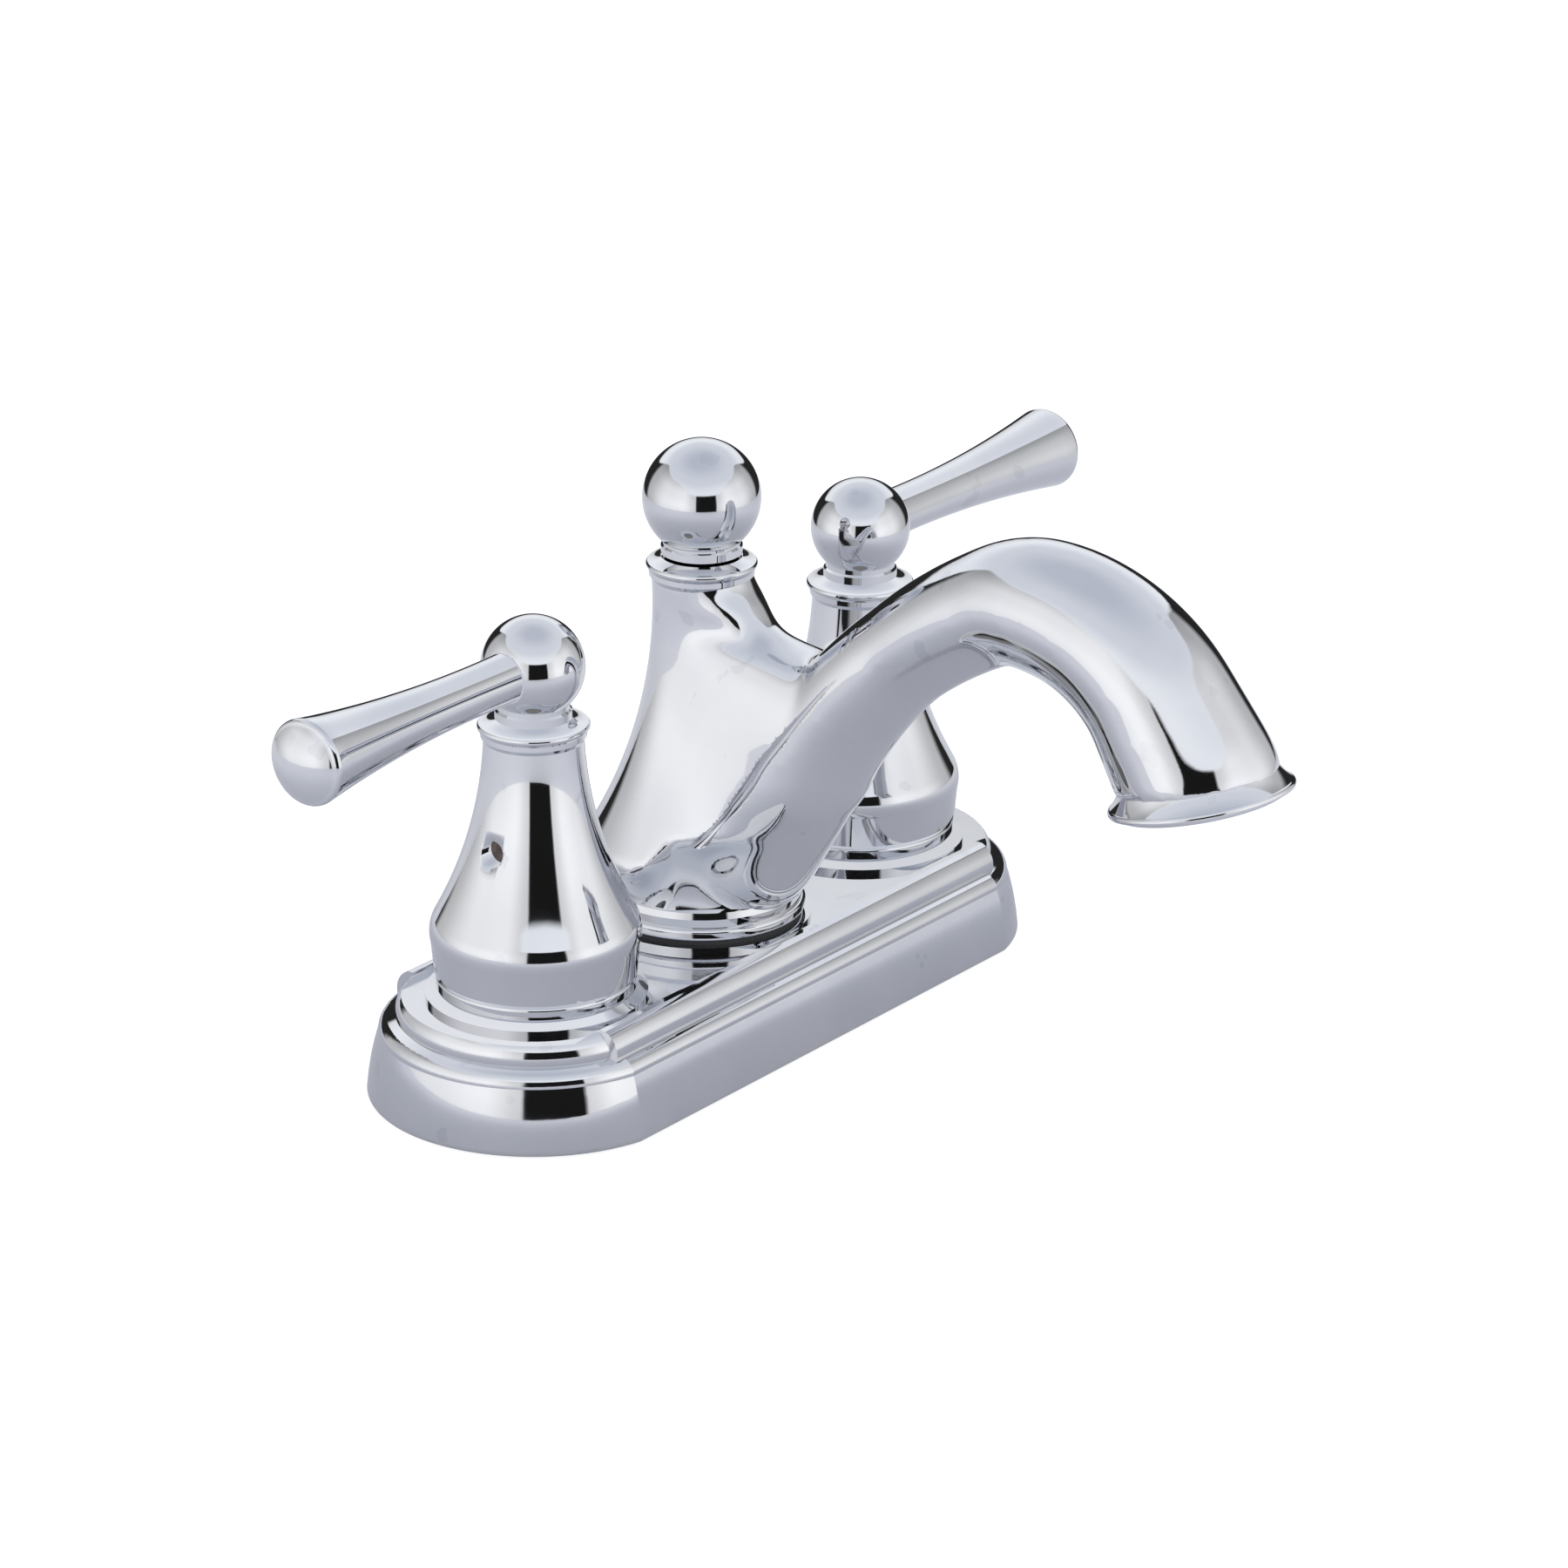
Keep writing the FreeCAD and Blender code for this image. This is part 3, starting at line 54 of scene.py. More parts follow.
# The room is plain white, and the light comes from a cloth tent round the faucet: lit sides, a
# lit roof, and dark where the camera looks in and behind. Polished metal shows all of it.
studio = bpy.data.worlds.new("studio")
bpy.context.scene.world = studio
studio.use_nodes = True
studio.node_tree.nodes["Background"].inputs["Color"].default_value = (1, 1, 1, 1)
studio.node_tree.nodes["Background"].inputs["Strength"].default_value = 1

tent_middle = 0.09
tent_radius = 0.5
bpy.ops.mesh.primitive_uv_sphere_add(segments=96, ring_count=48, radius=tent_radius,
                                     location=(0, 0, tent_middle))
tent = bpy.context.object
tent.name = "studio_tent"
bpy.ops.object.mode_set(mode="EDIT")
bpy.ops.mesh.select_all(action="SELECT")
bpy.ops.mesh.bisect(plane_co=(0, 0, -0.001), plane_no=(0, 0, 1), clear_inner=True)
bpy.ops.mesh.select_all(action="SELECT")
bpy.ops.mesh.normals_make_consistent(inside=True)
bpy.ops.object.mode_set(mode="OBJECT")
bpy.ops.object.transform_apply()
bpy.ops.object.shade_smooth()
tent.visible_camera = False
tent.visible_shadow = False


def tree_of(name):
    material = bpy.data.materials.new(name)
    material.use_nodes = True
    return material, material.node_tree.nodes, material.node_tree.links


def step(nodes, links, operation, *values):
    """A Math node; a value is a number or another node's output."""
    node = nodes.new("ShaderNodeMath")
    node.operation = operation
    for socket, value in zip(node.inputs, values):
        if isinstance(value, (int, float)):
            socket.default_value = value
        else:
            links.new(value, socket)
    return node.outputs[0]


def shades(nodes, links, factor, stops):
    """A colour ramp whose stops are (place, grey or colour)."""
    node = nodes.new("ShaderNodeValToRGB")
    node.color_ramp.interpolation = "EASE"
    elements = node.color_ramp.elements
    while len(elements) < len(stops):
        elements.new(0.5)
    for element, (place, shade) in zip(elements, stops):
        element.position = place
        element.color = (*shade, 1) if isinstance(shade, tuple) else (shade, shade, shade, 1)
    links.new(factor, node.inputs["Fac"])
    return node.outputs["Color"]


cloth, nodes, links = tree_of("tent_cloth")
nodes.clear()
place = nodes.new("ShaderNodeTexCoord").outputs["Object"]


def along(direction):
    node = nodes.new("ShaderNodeVectorMath")
    node.operation = "DOT_PRODUCT"
    node.inputs[1].default_value = direction
    links.new(place, node.inputs[0])
    return node.outputs["Value"]


to_camera = along((-0.7926, -0.6098, 0))
to_right = along((0.6098, -0.7926, 0))
height = step(nodes, links, "SUBTRACT", along((0, 0, 1)), tent_middle)
turn = step(nodes, links, "ARCTAN2", to_right, to_camera)
turn = step(nodes, links, "MULTIPLY_ADD", turn, 1 / radians(360), 0.5)
rise = step(nodes, links, "ARCSINE", step(nodes, links, "DIVIDE", height, tent_radius))
rise = step(nodes, links, "MULTIPLY_ADD", rise, 1 / radians(120), 0.25)


def at_turn(degrees):
    return degrees / 360 + 0.5


def at_rise(degrees):
    return degrees / 120 + 0.25


sides = shades(nodes, links, turn, [
    (0, 0.02), (at_turn(-133), 0.02), (at_turn(-122), 0.5), (at_turn(-70), 0.92), (at_turn(-35), 1.0),
    (at_turn(-12), 0.72), (at_turn(-9.5), 0.01), (at_turn(27), 0.01), (at_turn(30), 0.75),
    (at_turn(50), 1.0), (at_turn(80), 0.9), (at_turn(122), 0.5), (at_turn(133), 0.02), (1, 0.02)])
sides_rise = shades(nodes, links, rise, [
    (at_rise(-28), 0.78), (at_rise(0), 1.0), (at_rise(20), 0.9), (at_rise(42), 0.62)])
roof = shades(nodes, links, rise, [
    (at_rise(0), 0.5), (at_rise(24), (0.84, 0.86, 0.89)), (at_rise(45), (0.66, 0.69, 0.74)),
    (at_rise(80), (0.50, 0.53, 0.60))])
edge = shades(nodes, links, turn, [
    (0, at_rise(5)), (at_turn(-150), at_rise(14)), (at_turn(-110), at_rise(40)), (at_turn(-60), at_rise(36)),
    (at_turn(-10), at_rise(20)), (at_turn(30), at_rise(20)), (at_turn(70), at_rise(36)),
    (at_turn(110), at_rise(40)), (at_turn(150), at_rise(14)), (1, at_rise(5))])
under_roof = step(nodes, links, "SUBTRACT", rise, edge)
under_roof = step(nodes, links, "MULTIPLY_ADD", under_roof, 60.0, 0.5)
under_roof = step(nodes, links, "MINIMUM", step(nodes, links, "MAXIMUM", under_roof, 0.0), 1.0)
lit_sides = nodes.new("ShaderNodeMix")
lit_sides.data_type = "RGBA"
lit_sides.blend_type = "MULTIPLY"
lit_sides.inputs["Factor"].default_value = 1
links.new(sides, lit_sides.inputs["A"])
links.new(sides_rise, lit_sides.inputs["B"])
lit = nodes.new("ShaderNodeMix")
lit.data_type = "RGBA"
links.new(under_roof, lit.inputs["Factor"])
links.new(lit_sides.outputs["Result"], lit.inputs["A"])
links.new(roof, lit.inputs["B"])
glow = nodes.new("ShaderNodeEmission")
glow.inputs["Strength"].default_value = 1.3
links.new(lit.outputs["Result"], glow.inputs["Color"])
out = nodes.new("ShaderNodeOutputMaterial")
links.new(glow.outputs[0], out.inputs["Surface"])
cloth.cycles.emission_sampling = "NONE"
tent.data.materials.append(cloth)

bpy.ops.object.select_all(action="DESELECT")
bpy.ops.mesh.primitive_plane_add(size=8, location=(0, 0, -0.0002))
floor = bpy.context.object
floor.name = "floor"
bpy.ops.object.transform_apply()
paper, nodes, links = tree_of("floor_paper")
nodes.clear()
matt = nodes.new("ShaderNodeBsdfDiffuse")
matt.inputs["Color"].default_value = (0.42, 0.43, 0.48, 1)
white = nodes.new("ShaderNodeEmission")
path = nodes.new("ShaderNodeLightPath")
seen = step(nodes, links, "MAXIMUM", path.outputs["Is Glossy Ray"], path.outputs["Is Transmission Ray"])
# In reflections the floor's glow is painted: painted shade near the faucet, as if the floor lay in the faucet's
# shade there, and a brighter painted glow further out, as if it took the tent's light
spot = nodes.new("ShaderNodeTexCoord").outputs["Object"]
away = nodes.new("ShaderNodeVectorMath")
away.operation = "LENGTH"
links.new(spot, away.inputs[0])
# Painted shade: the floor's glow seen in reflections is darker near the faucet and brighter further out
painted_floor_shade = shades(nodes, links, away.outputs["Value"], [(0.08, 0.20), (0.30, 0.45)])
seen = step(nodes, links, "MULTIPLY", seen, painted_floor_shade)
seen = step(nodes, links, "MULTIPLY_ADD", path.outputs["Is Camera Ray"], 0.86, seen)
links.new(seen, white.inputs["Strength"])
both = nodes.new("ShaderNodeAddShader")
links.new(matt.outputs[0], both.inputs[0])
links.new(white.outputs[0], both.inputs[1])
# Seen from below, where the shanks and the rod are, the floor is clear
clear = nodes.new("ShaderNodeBsdfTransparent")
below = nodes.new("ShaderNodeMixShader")
links.new(nodes.new("ShaderNodeNewGeometry").outputs["Backfacing"], below.inputs["Fac"])
links.new(both.outputs[0], below.inputs[1])
links.new(clear.outputs[0], below.inputs[2])
out = nodes.new("ShaderNodeOutputMaterial")
links.new(below.outputs[0], out.inputs["Surface"])
floor.data.materials.append(paper)

# Base plate: a thin cast cover, hollow below, with a stepped moulding mitred at its front corners.
# It is polished and plated with chrome, as are the spout, the handles and the ball of the rod.
def group_of(name, inputs, outputs):
    """A shader node group with float inputs (name, value) and float outputs (name)."""
    group = bpy.data.node_groups.new(name, "ShaderNodeTree")
    for label, value in inputs:
        socket = group.interface.new_socket(name=label, in_out="INPUT", socket_type="NodeSocketFloat")
        socket.default_value = value
    for label in outputs:
        group.interface.new_socket(name=label, in_out="OUTPUT", socket_type="NodeSocketFloat")
    return group, group.nodes.new("NodeGroupInput"), group.nodes.new("NodeGroupOutput")


# Uneven finish: soft clouds of haze, a fine grain, and a few specks where both are strong
finish_marks, given, result = group_of(
    "finish_marks",
    [("Cloud Scale", 60), ("Grain Scale", 1500), ("Smooth", 0.03), ("Rough", 0.06), ("Speck Level", 0.68)],
    ["Cloud", "Roughness", "Grain", "Specks"])
nodes, links = finish_marks.nodes, finish_marks.links
place = nodes.new("ShaderNodeTexCoord").outputs["Object"]
clouds = nodes.new("ShaderNodeTexNoise")
clouds.inputs["Detail"].default_value = 4
grain = nodes.new("ShaderNodeTexNoise")
grain.inputs["Detail"].default_value = 2
for noise, scale in ((clouds, "Cloud Scale"), (grain, "Grain Scale")):
    links.new(place, noise.inputs["Vector"])
    links.new(given.outputs[scale], noise.inputs["Scale"])
cloud = shades(nodes, links, clouds.outputs["Fac"], [(0.35, 0.0), (0.65, 1.0)])
speck = step(nodes, links, "GREATER_THAN", grain.outputs["Fac"], given.outputs["Speck Level"])
spread = step(nodes, links, "SUBTRACT", given.outputs["Rough"], given.outputs["Smooth"])
shine = step(nodes, links, "MULTIPLY_ADD", cloud, spread, given.outputs["Smooth"])
links.new(cloud, result.inputs["Cloud"])
links.new(shine, result.inputs["Roughness"])
links.new(grain.outputs["Fac"], result.inputs["Grain"])
links.new(step(nodes, links, "MULTIPLY", speck, cloud), result.inputs["Specks"])


def finish_of(name, plain, hazed, speckled, metallic, smooth, rough, clouds, grain, depth, speck=0.68):
    """A finish with cloudy colour and shine; scales are per metre, depth is the grain's in metres."""
    material, nodes, links = tree_of(name)
    surface = nodes["Principled BSDF"]
    surface.inputs["Metallic"].default_value = metallic
    marks = nodes.new("ShaderNodeGroup")
    marks.node_tree = finish_marks
    for label, value in (("Cloud Scale", clouds), ("Grain Scale", grain), ("Smooth", smooth), ("Rough", rough),
                         ("Speck Level", speck)):
        marks.inputs[label].default_value = value
    colour = plain
    for label, other in (("Cloud", hazed), ("Specks", speckled)):
        mix = nodes.new("ShaderNodeMix")
        mix.data_type = "RGBA"
        links.new(marks.outputs[label], mix.inputs["Factor"])
        if label == "Cloud":
            mix.inputs["A"].default_value = (*plain, 1)
        else:
            links.new(colour, mix.inputs["A"])
        mix.inputs["B"].default_value = (*other, 1)
        colour = mix.outputs["Result"]
    links.new(colour, surface.inputs["Base Color"])
    links.new(marks.outputs["Roughness"], surface.inputs["Roughness"])
    bump = nodes.new("ShaderNodeBump")
    bump.inputs["Strength"].default_value = 1
    bump.inputs["Distance"].default_value = depth
    links.new(marks.outputs["Grain"], bump.inputs["Height"])
    links.new(bump.outputs["Normal"], surface.inputs["Normal"])
    return material


def dress(material, *names):
    for name in names:
        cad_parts[name].data.materials[0] = material


# Mirror plate: a breath of haze, and the slow waves that a polishing wheel leaves
chrome = finish_of("chrome_plate", (0.70, 0.705, 0.73), (0.66, 0.67, 0.705), (0.60, 0.61, 0.65),
                   1, 0.025, 0.06, 45, 140, 0.000012)
dress(chrome, "base_plate")

# Gaskets: soft black rubber sheet, cut to the base and to the spout's foot, with a dusty skin.
# They lie loose under their pieces and are squeezed by the nuts.
rubber = finish_of("gasket_rubber", (0.035, 0.035, 0.038), (0.055, 0.055, 0.058), (0.10, 0.10, 0.10),
                   0, 0.55, 0.8, 220, 3200, 0.00006)
dress(rubber, "base_gasket", "spout_gasket", "riser_oring")

# Waterway: one brass casting under the base, with two threaded shanks joined by cross tubes.
# It stays as cast between the machined faces, a little sandy and dull.
brass = finish_of("cast_brass", (0.72, 0.56, 0.28), (0.60, 0.43, 0.19), (0.42, 0.30, 0.14),
                  1, 0.26, 0.46, 130, 2600, 0.00005)
turned_brass = finish_of("turned_brass", (0.76, 0.61, 0.33), (0.70, 0.54, 0.27), (0.52, 0.38, 0.19),
                         1, 0.14, 0.26, 300, 5200, 0.00001)
dress(brass, "waterway_body")
dress(turned_brass, "spout_locknut")

# Valves: on each shank a rubber seat, two lapped ceramic discs, a plastic cartridge and a brass
# stem, held by a brass bonnet nut. A locknut clamps the base to the body.
ceramic = finish_of("lapped_ceramic", (0.90, 0.89, 0.85), (0.84, 0.83, 0.79), (0.74, 0.72, 0.68),
                    0, 0.16, 0.32, 500, 6000, 0.000006)
cartridge_plastic = finish_of("cartridge_plastic", (0.75, 0.76, 0.77), (0.70, 0.71, 0.72), (0.64, 0.65, 0.66),
                              0, 0.34, 0.5, 260, 4200, 0.00002)
for side in ("hot_", "cold_"):
    dress(rubber, side + "seat_seal", side + "stem_oring")
    dress(ceramic, side + "fixed_disc", side + "moving_disc")
    dress(cartridge_plastic, side + "cartridge")
    dress(turned_brass, side + "stem", side + "bonnet_nut", side + "base_locknut")


# Spout: one hollow brass casting. A bell-shaped pedestal carries the arm, and the bell's skin
# reaches out over the arm's root like a cape, with a narrow groove along each side. It is
# polished and plated as one piece, with a turned collar, a foot ring and a flared lip.
MM = 0.001


def bell_radius(height):
    return 101.48 - (92 ** 2 - (height - 84.05) ** 2) ** 0.5


# The cape's level outlines: height, how far its front circle stands out, and that circle's radius.
cape = [(33.6, 10, 17.0), (38.4, 14, 15.6), (42, 17, 13.4), (45.5, 20.0, 12.6), (50.7, 24.0, 12.3),
        (54.9, 26.5, 12.0), (59.9, 29.2, 11.5), (64.5, 32.5, 11.0), (68.4, 35.0, 10.3), (72.0, 36.0, 9.3),
        (75.0, 34.0, 7.9), (77.2, 28.0, 6.5), (78.4, 21.5, 5.4), (79.4, 16.0, 5.2), (80.8, 12.2, 5.6),
        (82.8, 9.0, 6.5), (85.5, 5.4, 7.9), (88.8, 2.0, 8.5), (91.5, 0.3, 9.0)]


def outline_at(height):
    """The bell's radius, the front circle's reach and its radius, in smooth steps up the table."""
    row = max(n for n in range(len(cape) - 1) if cape[n][0] <= height or n == 0)
    share = (height - cape[row][0]) / (cape[row + 1][0] - cape[row][0])
    around_it = [cape[min(max(row + n, 0), len(cape) - 1)] for n in (-1, 0, 1, 2)]
    reach, front = (
        0.5 * (2 * b + (c - a) * share + (2 * a - 5 * b + 4 * c - d) * share ** 2
               + (3 * b - a - 3 * c + d) * share ** 3)
        for a, b, c, d in list(zip(*around_it))[1:])
    return min(bell_radius(height), 22.8), reach, front


around = 120
foot_levels = 16
levels = 60
foot_height = 23.6
waist_radius = 19.2
points = []
for level in range(-foot_levels, levels + 1):
    for index in range(around):
        angle = tau * index / around
        # Towards the arm the bell's lower edge rises into the groove
        from_front = abs((angle + pi) % tau - pi)
        swoop = min(max((radians(97) - from_front) / radians(48), 0), 1)
        swoop = swoop * swoop * (3 - 2 * swoop)
        rim = 33.6 + 13.5 * swoop
        height = rim + (91.5 - rim) * max(level, 0) / levels
        radius, reach, front = outline_at(height)
        on_front = front + reach * cos(angle) > radius
        size, middle = (front, reach) if on_front else (radius, 0)
        place = Vector((size * sin(angle), -middle - size * cos(angle), height))
        if level < 0:
            # Under that edge the waist hollows in, down to the foot
            share = 1 + level / foot_levels
            out = place.xy.length
            waist = waist_radius * (1 - share ** 3) + out * share ** 3
            waist -= (0.6 + 1.6 * swoop) * sin(pi * share)
            place = Vector((*(place.xy / out * waist), foot_height + (rim - foot_height) * share))
        points.append(place * MM)
rows = foot_levels + levels
faces = [tuple(range(around))[::-1], tuple(range(rows * around, (rows + 1) * around))]
for row in range(rows):
    for index in range(around):
        after = (index + 1) % around
        faces.append((row * around + index, row * around + after,
                      (row + 1) * around + after, (row + 1) * around + index))
cape_mesh = bpy.data.meshes.new("cape")
cape_mesh.from_pydata(points, [], faces)
cape_piece = bpy.data.objects.new("cape", cape_mesh)
bpy.context.scene.collection.objects.link(cape_piece)


def way(angle):
    return Vector((0, -cos(radians(angle)), sin(radians(angle))))


def above(angle):
    return Vector((0, sin(radians(angle)), cos(radians(angle))))


def between(start, end, share):
    return start + (end - start) * share


root = Vector((0, -11.7, 36.5))
rise_end = root + way(55.5) * 35.2
sweep_middle = rise_end - above(55.5) * 98
sweep_end = sweep_middle + above(27.2) * 98
crest_middle = sweep_end - above(27.2) * 23
fall_middle = crest_middle + above(0) * (23 - 34.1)
fall_end = fall_middle + above(-50) * 34.1
outlet = fall_end + way(-56) * 16.2
arm = [(root - way(55.5) * 10, 8.6), (root - way(55.5) * 6, 12.0)]
arm += [(between(root, rise_end, n / 6), between(13.5, 11.35, n / 6)) for n in range(6)]
arm += [(sweep_middle + above(55.5 - 14.15 * n / 5) * 98, between(11.35, 10.35, n / 5)) for n in range(5)]
arm += [(sweep_middle + above(41.35 - 14.15 * n / 5) * 98, between(10.35, 11.2, n / 5)) for n in range(5)]
arm += [(crest_middle + above(27.2 - 27.2 * n / 4) * 23, between(11.2, 12.55, n / 4)) for n in range(4)]
arm += [(fall_middle + above(-50 * n / 8) * 34.1, between(12.55, 13.9, n / 8)) for n in range(8)]
arm += [(between(fall_end, outlet, n / 3), between(13.9, 15.2, n / 3)) for n in range(4)]
arm += [(outlet + way(-76) * 1.2, 15.2)]
line = bpy.data.curves.new("arm", "CURVE")
line.dimensions = "3D"
line.bevel_depth = MM
line.bevel_resolution = 16
line.use_fill_caps = True
spline = line.splines.new("NURBS")
spline.points.add(len(arm) - 1)
for point, (place, radius) in zip(spline.points, arm):
    point.co = (*(place * MM), 1)
    point.radius = radius
spline.order_u = 3
spline.use_endpoint_u = True
spline.resolution_u = 4
line.resolution_u = 4
arm_piece = bpy.data.objects.new("arm", line)
bpy.context.scene.collection.objects.link(arm_piece)
arm_piece.select_set(True)
bpy.context.view_layer.objects.active = arm_piece
bpy.ops.object.convert(target="MESH")
arm_piece = bpy.context.object


def turned(name, corners, steps=128):
    """A turned solid about Z: corners are (radius, height) or (radius, height, arc to the next).
    A positive arc bulges outwards on a profile that runs upwards, and a negative one is hollow."""
    profile = []
    for index, corner in enumerate(corners):
        start = Vector(corner[:2])
        profile.append(start)
        if len(corner) == 3:
            end = Vector(corners[(index + 1) % len(corners)][:2])
            chord = end - start
            radius = abs(corner[2])
            bulge = max(radius ** 2 - chord.length_squared / 4, 0) ** 0.5
            square = Vector((chord.y, -chord.x)).normalized() * (1 if corner[2] > 0 else -1)
            centre = (start + end) / 2 - square * bulge
            first, last = start - centre, end - centre
            sweep = first.angle(last)
            turn_sign = 1 if corner[2] > 0 else -1
            cuts = max(2, int(sweep / radians(2.5)), int(sweep * radius / 3))
            for cut in range(1, cuts):
                angle = turn_sign * sweep * cut / cuts
                c, s = cos(angle), sin(angle)
                profile.append(centre + Vector((first.x * c - first.y * s, first.x * s + first.y * c)))
    bpy.ops.object.select_all(action="DESELECT")
    bpy.ops.mesh.primitive_plane_add(size=MM)
    piece = bpy.context.object
    piece.name = name
    bpy.ops.object.mode_set(mode="EDIT")
    bpy.ops.mesh.merge(type="CENTER")
    bpy.ops.transform.translate(value=(profile[0].x * MM, 0, profile[0].y * MM))
    for start, end in zip(profile, profile[1:] + profile[:1]):
        bpy.ops.mesh.extrude_region_move(
            TRANSFORM_OT_translate={"value": ((end.x - start.x) * MM, 0, (end.y - start.y) * MM)})
    bpy.ops.mesh.select_all(action="SELECT")
    bpy.ops.mesh.spin(steps=steps, angle=tau, center=(0, 0, 0), axis=(0, 0, 1))
    bpy.ops.mesh.select_all(action="SELECT")
    bpy.ops.mesh.remove_doubles(threshold=0.000002)
    bpy.ops.mesh.delete_loose(use_verts=True, use_edges=True)
    bpy.ops.mesh.select_all(action="SELECT")
    bpy.ops.mesh.normals_make_consistent(inside=False)
    bpy.ops.object.mode_set(mode="OBJECT")
    bpy.ops.object.shade_smooth_by_angle(angle=radians(24))
    return piece


bpy.ops.object.select_all(action="DESELECT")
for piece in (arm_piece, cape_piece):
    piece.select_set(True)
bpy.context.view_layer.objects.active = cape_piece
bpy.ops.object.join()
spout = bpy.context.object
spout.name = "spout_casting"
melt = spout.modifiers.new("melt", "REMESH")
melt.mode = "VOXEL"
melt.voxel_size = 0.00065
bpy.ops.object.modifier_apply(modifier="melt")
polish = spout.modifiers.new("polish", "SMOOTH")
polish.factor = 0.5
polish.iterations = 40
bpy.ops.object.modifier_apply(modifier="polish")
bpy.ops.object.shade_smooth()


def cut_away(piece, cutter):
    """Takes the cutter's solid out of the piece."""
    hole = piece.modifiers.new("hole", "BOOLEAN")
    hole.operation = "DIFFERENCE"
    hole.object = cutter
    bpy.ops.object.select_all(action="DESELECT")
    bpy.context.view_layer.objects.active = piece
    bpy.ops.object.modifier_apply(modifier="hole")
    bpy.data.objects.remove(cutter)


def swing(piece, angle, place):
    """Turns a piece about the X axis through the middle, then moves it, both in its mesh."""
    piece.data.transform(Matrix.Translation(place) @ Matrix.Rotation(angle, 4, "X"))


chamber = turned("chamber", [(0, -3), (12, -3), (12, 6.4), (0, 6.4)], steps=64)
swing(chamber, radians(-14), outlet * MM)
cut_away(spout, chamber)
cut_away(spout, turned("rod_hole", [(0, 20), (2.7, 20), (2.7, 96), (0, 96)], steps=48))
bpy.context.view_layer.objects.active = spout
bpy.ops.object.mode_set(mode="EDIT")
bpy.ops.mesh.select_all(action="SELECT")
bpy.ops.mesh.bisect(plane_co=(0, 0, 26.2 * MM), plane_no=(0, 0, 1), clear_inner=True)
bpy.ops.object.mode_set(mode="OBJECT")
bpy.ops.object.shade_smooth_by_angle(angle=radians(40))
foot_radius = max((v.co.x ** 2 + v.co.y ** 2) ** 0.5 for v in spout.data.vertices if v.co.z < 26.25 * MM) / MM

# The groove between cape and arm: a round cut along each flank, fine at its upper end
groove = [(22.9, -3.0, 33.4, 0.3), (22.9, 2.0, 35.3, 0.6), (20.2, 8.4, 38.3, 0.9), (16.2, 11.8, 41.6, 1.1),
          (13.4, 14.8, 45.8, 1.1), (12.7, 18.3, 50.7, 1.1), (12.4, 21.0, 54.9, 1.1),
          (11.8, 23.6, 59.9, 1.0), (11.5, 27.0, 64.5, 0.95), (11.2, 29.8, 68.4, 0.85), (11.1, 32.6, 72.0, 0.75),
          (10.9, 35.4, 75.4, 0.65), (10.7, 38.2, 78.7, 0.55), (10.5, 42.7, 83.2, 0.4), (10.6, 46.0, 86.5, 0.25)]
for side in (-1, 1):
    line = bpy.data.curves.new("groove_line", "CURVE")
    line.dimensions = "3D"
    line.bevel_depth = MM
    line.bevel_resolution = 6
    line.use_fill_caps = True
    spline = line.splines.new("NURBS")
    spline.points.add(len(groove) - 1)
    for point, (x, y, z, radius) in zip(spline.points, groove):
        point.co = (side * x * MM, -y * MM, z * MM, 1)
        point.radius = radius
    spline.order_u = 3
    spline.use_endpoint_u = True
    line.resolution_u = 6
    bead = bpy.data.objects.new("groove_bead", line)
    bpy.context.scene.collection.objects.link(bead)
    bpy.ops.object.select_all(action="DESELECT")
    bead.select_set(True)
    bpy.context.view_layer.objects.active = bead
    bpy.ops.object.convert(target="MESH")
    cut_away(spout, bpy.context.object)

foot_ring = turned("foot_ring", [
    (12, 21.8), (19.2, 21.8, 0.8), (20, 22.6), (20, 23.4, 0.8), (19.2, 24.2), (foot_radius, 26.2),
    (foot_radius - 0.5, 27.4), (12, 27.4)])
sleeve = turned("sleeve", [(4.6, 12.6), (6.4, 12.6), (6.4, 24.5), (4.6, 24.5)], steps=64)
sleeve.data.transform(Matrix.Translation((0, -11 * MM, 0)))
collar = turned("collar", [
    (2.7, 87.5), (8.6, 87.5), (9.6, 88.8), (10.1, 89.6), (10.1, 90.6), (10.4, 91.0, 0.8), (10.4, 92.2, -5),
    (7.8, 93.2), (2.7, 93.2)])
lip = turned("lip", [
    (11.3, -4.8), (15.1, -4.8, 0.8), (15.9, -4.0), (17.2, -3.9, 0.8), (16.8, -2.7, -9.3), (14.7, 0.3),
    (12.3, 0.8), (12.3, 6.1), (11.3, 6.1)])
swing(lip, radians(-14), outlet * MM)
bpy.ops.object.select_all(action="DESELECT")
for piece in (foot_ring, sleeve, collar, lip, spout):
    piece.select_set(True)
bpy.context.view_layer.objects.active = spout
bpy.ops.object.join()
spout.data.materials.clear()
spout.data.materials.append(chrome)
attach(spout, "faucet_body")
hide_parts("spout_body")

# Handles: hollow castings, turned and plated, each a bell with a collar and a ball on its neck. A
# bore inside fits the valve stem, and a small screw in the outer side holds the handle to it.
valve_offset = 50.8
ball_height = 85.2
screw_height = 51.8
past_skin = 24
handle_profile = [
    (16.1, 21.6), (18.1, 21.6, 0.8), (18.9, 22.4), (18.9, 23.8, 0.8), (18.3, 24.6), (19.2, 25.2),
    (19.75, 31.2, 7), (19.2, 36.2, -80), (9.4, 71.0), (9.9, 71.8), (9.9, 72.8), (10.3, 73.2, 0.8),
    (10.3, 74.4, -5), (7.2, 75.4), (7.2, 76.9), (6.8, 77.3), (6.8, 78.21, 9.75), (9.75, ball_height, 9.75),
    (0, 94.95), (0, 60.8), (3.95, 60.8), (3.95, 43.5), (10.8, 43.5), (16.1, 34.4)]
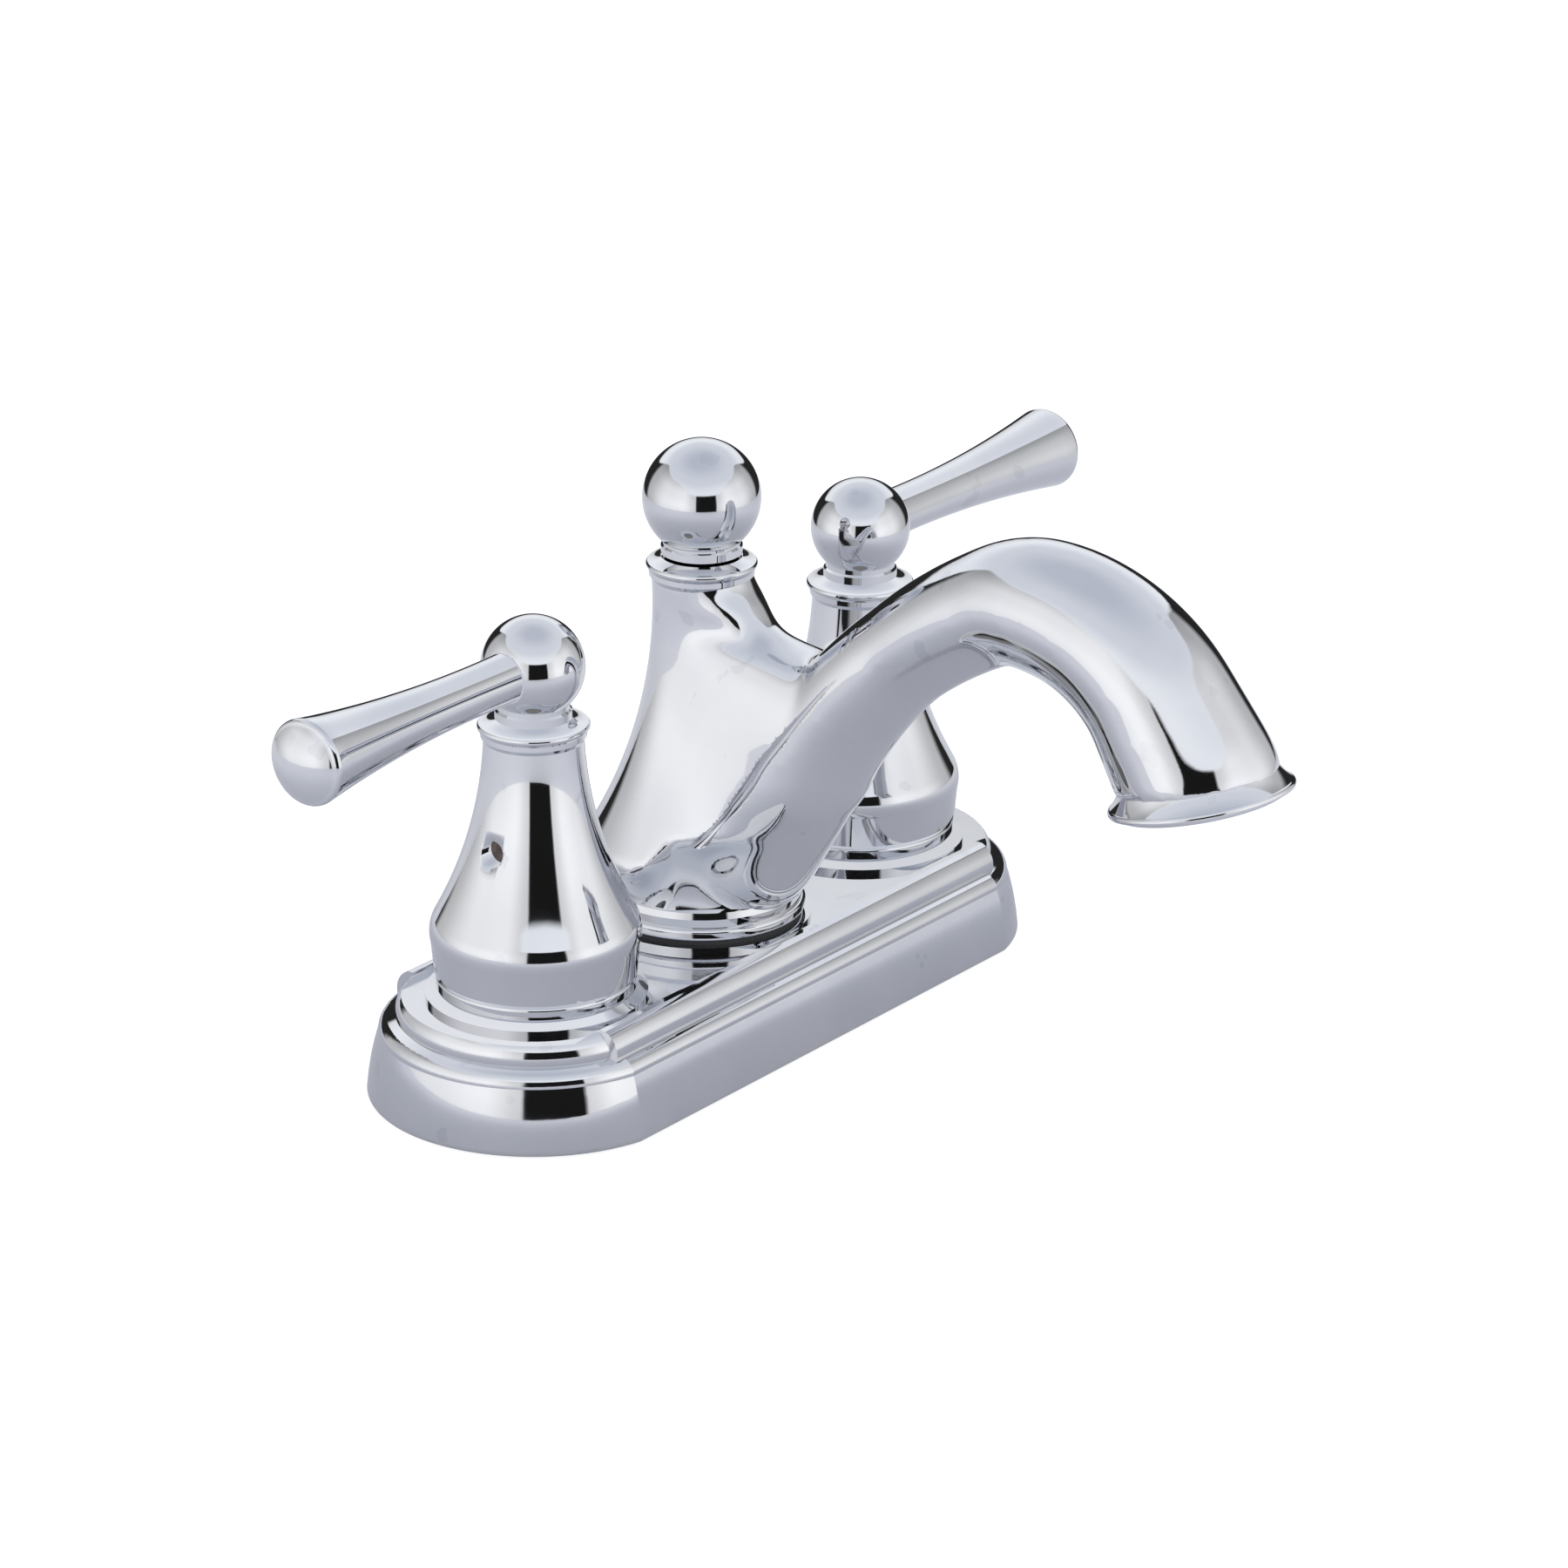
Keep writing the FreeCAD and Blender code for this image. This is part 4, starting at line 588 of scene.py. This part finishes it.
for side, sign in (("hot", -1), ("cold", 1)):
    handle = turned(side + "_bell_handle", handle_profile, steps=160)
    outwards = Matrix.Rotation(radians(90 * sign), 4, "Y")
    socket = turned("lever_socket", [(0, 3.25), (3.25, 3.25), (3.25, 8.4), (4.8, 8.4), (4.8, past_skin),
                                     (0, past_skin)], steps=64)
    socket.data.transform(Matrix.Translation((0, 0, ball_height * MM)) @ outwards)
    cut_away(handle, socket)
    screw_hole = turned("screw_hole", [(0, 0), (2.5, 0), (2.5, past_skin), (0, past_skin)], steps=48)
    screw_hole.data.transform(Matrix.Translation((0, 0, screw_height * MM)) @ outwards)
    cut_away(handle, screw_hole)
    handle.data.transform(Matrix.Translation((sign * valve_offset * MM, 0, 0)))
    handle.data.materials.clear()
    handle.data.materials.append(chrome)
    handle.visible_glossy = False
    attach(handle, side + "_handle_set")
    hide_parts(side + "_handle")

# The photograph's spout shows neither handle in its polished sides. So that they look the same
# here, the handles and the valves inside them are kept out of every reflection.
valves = [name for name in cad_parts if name.startswith(("hot_", "cold_")) and "mounting" not in name]
for piece in [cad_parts[name] for name in valves + ["waterway_body"]]:
    piece.visible_glossy = False

# Levers: solid turned bars that flare from a slim neck to a domed end. A short tenon is pressed
# into the side of the handle's ball, which leaves a thin dark line round the neck.
tip_radius, tip_rise = 7.3, 2.8
dome = (tip_radius ** 2 + tip_rise ** 2) / 2 / tip_rise
lever_profile = [(0, 3.4), (3.2, 3.4), (3.2, 8.4), (4.35, 8.4), (4.75, 8.8, -330), (8.1, 62.9, 1.2),
                 (tip_radius, 64.1, dome), (0, 64.1 + tip_rise)]
for side, sign in (("hot", -1), ("cold", 1)):
    lever = turned(side + "_flared_lever", lever_profile)
    lever.data.transform(Matrix.Translation((sign * valve_offset * MM, 0, ball_height * MM))
                         @ Matrix.Rotation(radians(90 * sign), 4, "Y"))
    lever.data.materials.append(chrome)
    lever.visible_glossy = False
    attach(lever, side + "_handle_set")
    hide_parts(side + "_lever")

# Set screws: short headless steel screws with a hex socket, darkened with oil, that sit a little
# below the handle's skin.
dark_steel = finish_of("oiled_screw_steel", (0.16, 0.13, 0.11), (0.11, 0.09, 0.08), (0.24, 0.22, 0.20),
                       1, 0.3, 0.5, 700, 5200, 0.00002)
dress(dark_steel, "hot_set_screw", "cold_set_screw")

# Lift rod and its ball: a thin drawn rod runs through the collar to the drain. The ball is a
# turning with a small ring at its foot, pressed on the rod's upper end, and lifts with it.
rod_plate = finish_of("drawn_rod_plate", (0.72, 0.72, 0.75), (0.66, 0.66, 0.70), (0.55, 0.55, 0.58),
                      1, 0.05, 0.12, 180, 1800, 0.000004)
dress(rod_plate, "lift_rod")
knob = turned("lift_rod_ball", [
    (2.45, 93.5), (7.4, 93.5), (7.8, 93.9), (7.8, 95.3), (7.4, 95.7), (7.4, 96.16, 11.3), (11.3, 104.7, 11.3),
    (0, 116.0), (0, 104.7), (2.45, 104.7)], steps=160)
knob.data.materials.append(chrome)
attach(knob, "lift_rod_set")
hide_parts("lift_rod_knob")

# Aerator: a plastic housing pressed into the outlet, with a thin perforated screen on its ledge
# and a rubber washer above it.
dress(cartridge_plastic, "aerator_housing", "aerator_screen")
dress(rubber, "aerator_washer")

# Mounting washers and nuts: under the deck, a zinc-plated washer and a winged plastic nut on each
# shank pull the faucet down.
zinc = finish_of("zinc_plate", (0.66, 0.67, 0.69), (0.55, 0.57, 0.60), (0.42, 0.43, 0.45),
                 1, 0.28, 0.48, 420, 2800, 0.00002)
nut_plastic = finish_of("nut_plastic_black", (0.075, 0.075, 0.085), (0.10, 0.10, 0.11), (0.15, 0.15, 0.16),
                        0, 0.38, 0.6, 200, 3600, 0.00004)
for side in ("hot_", "cold_"):
    dress(zinc, side + "mounting_washer")
    dress(nut_plastic, side + "mounting_nut")
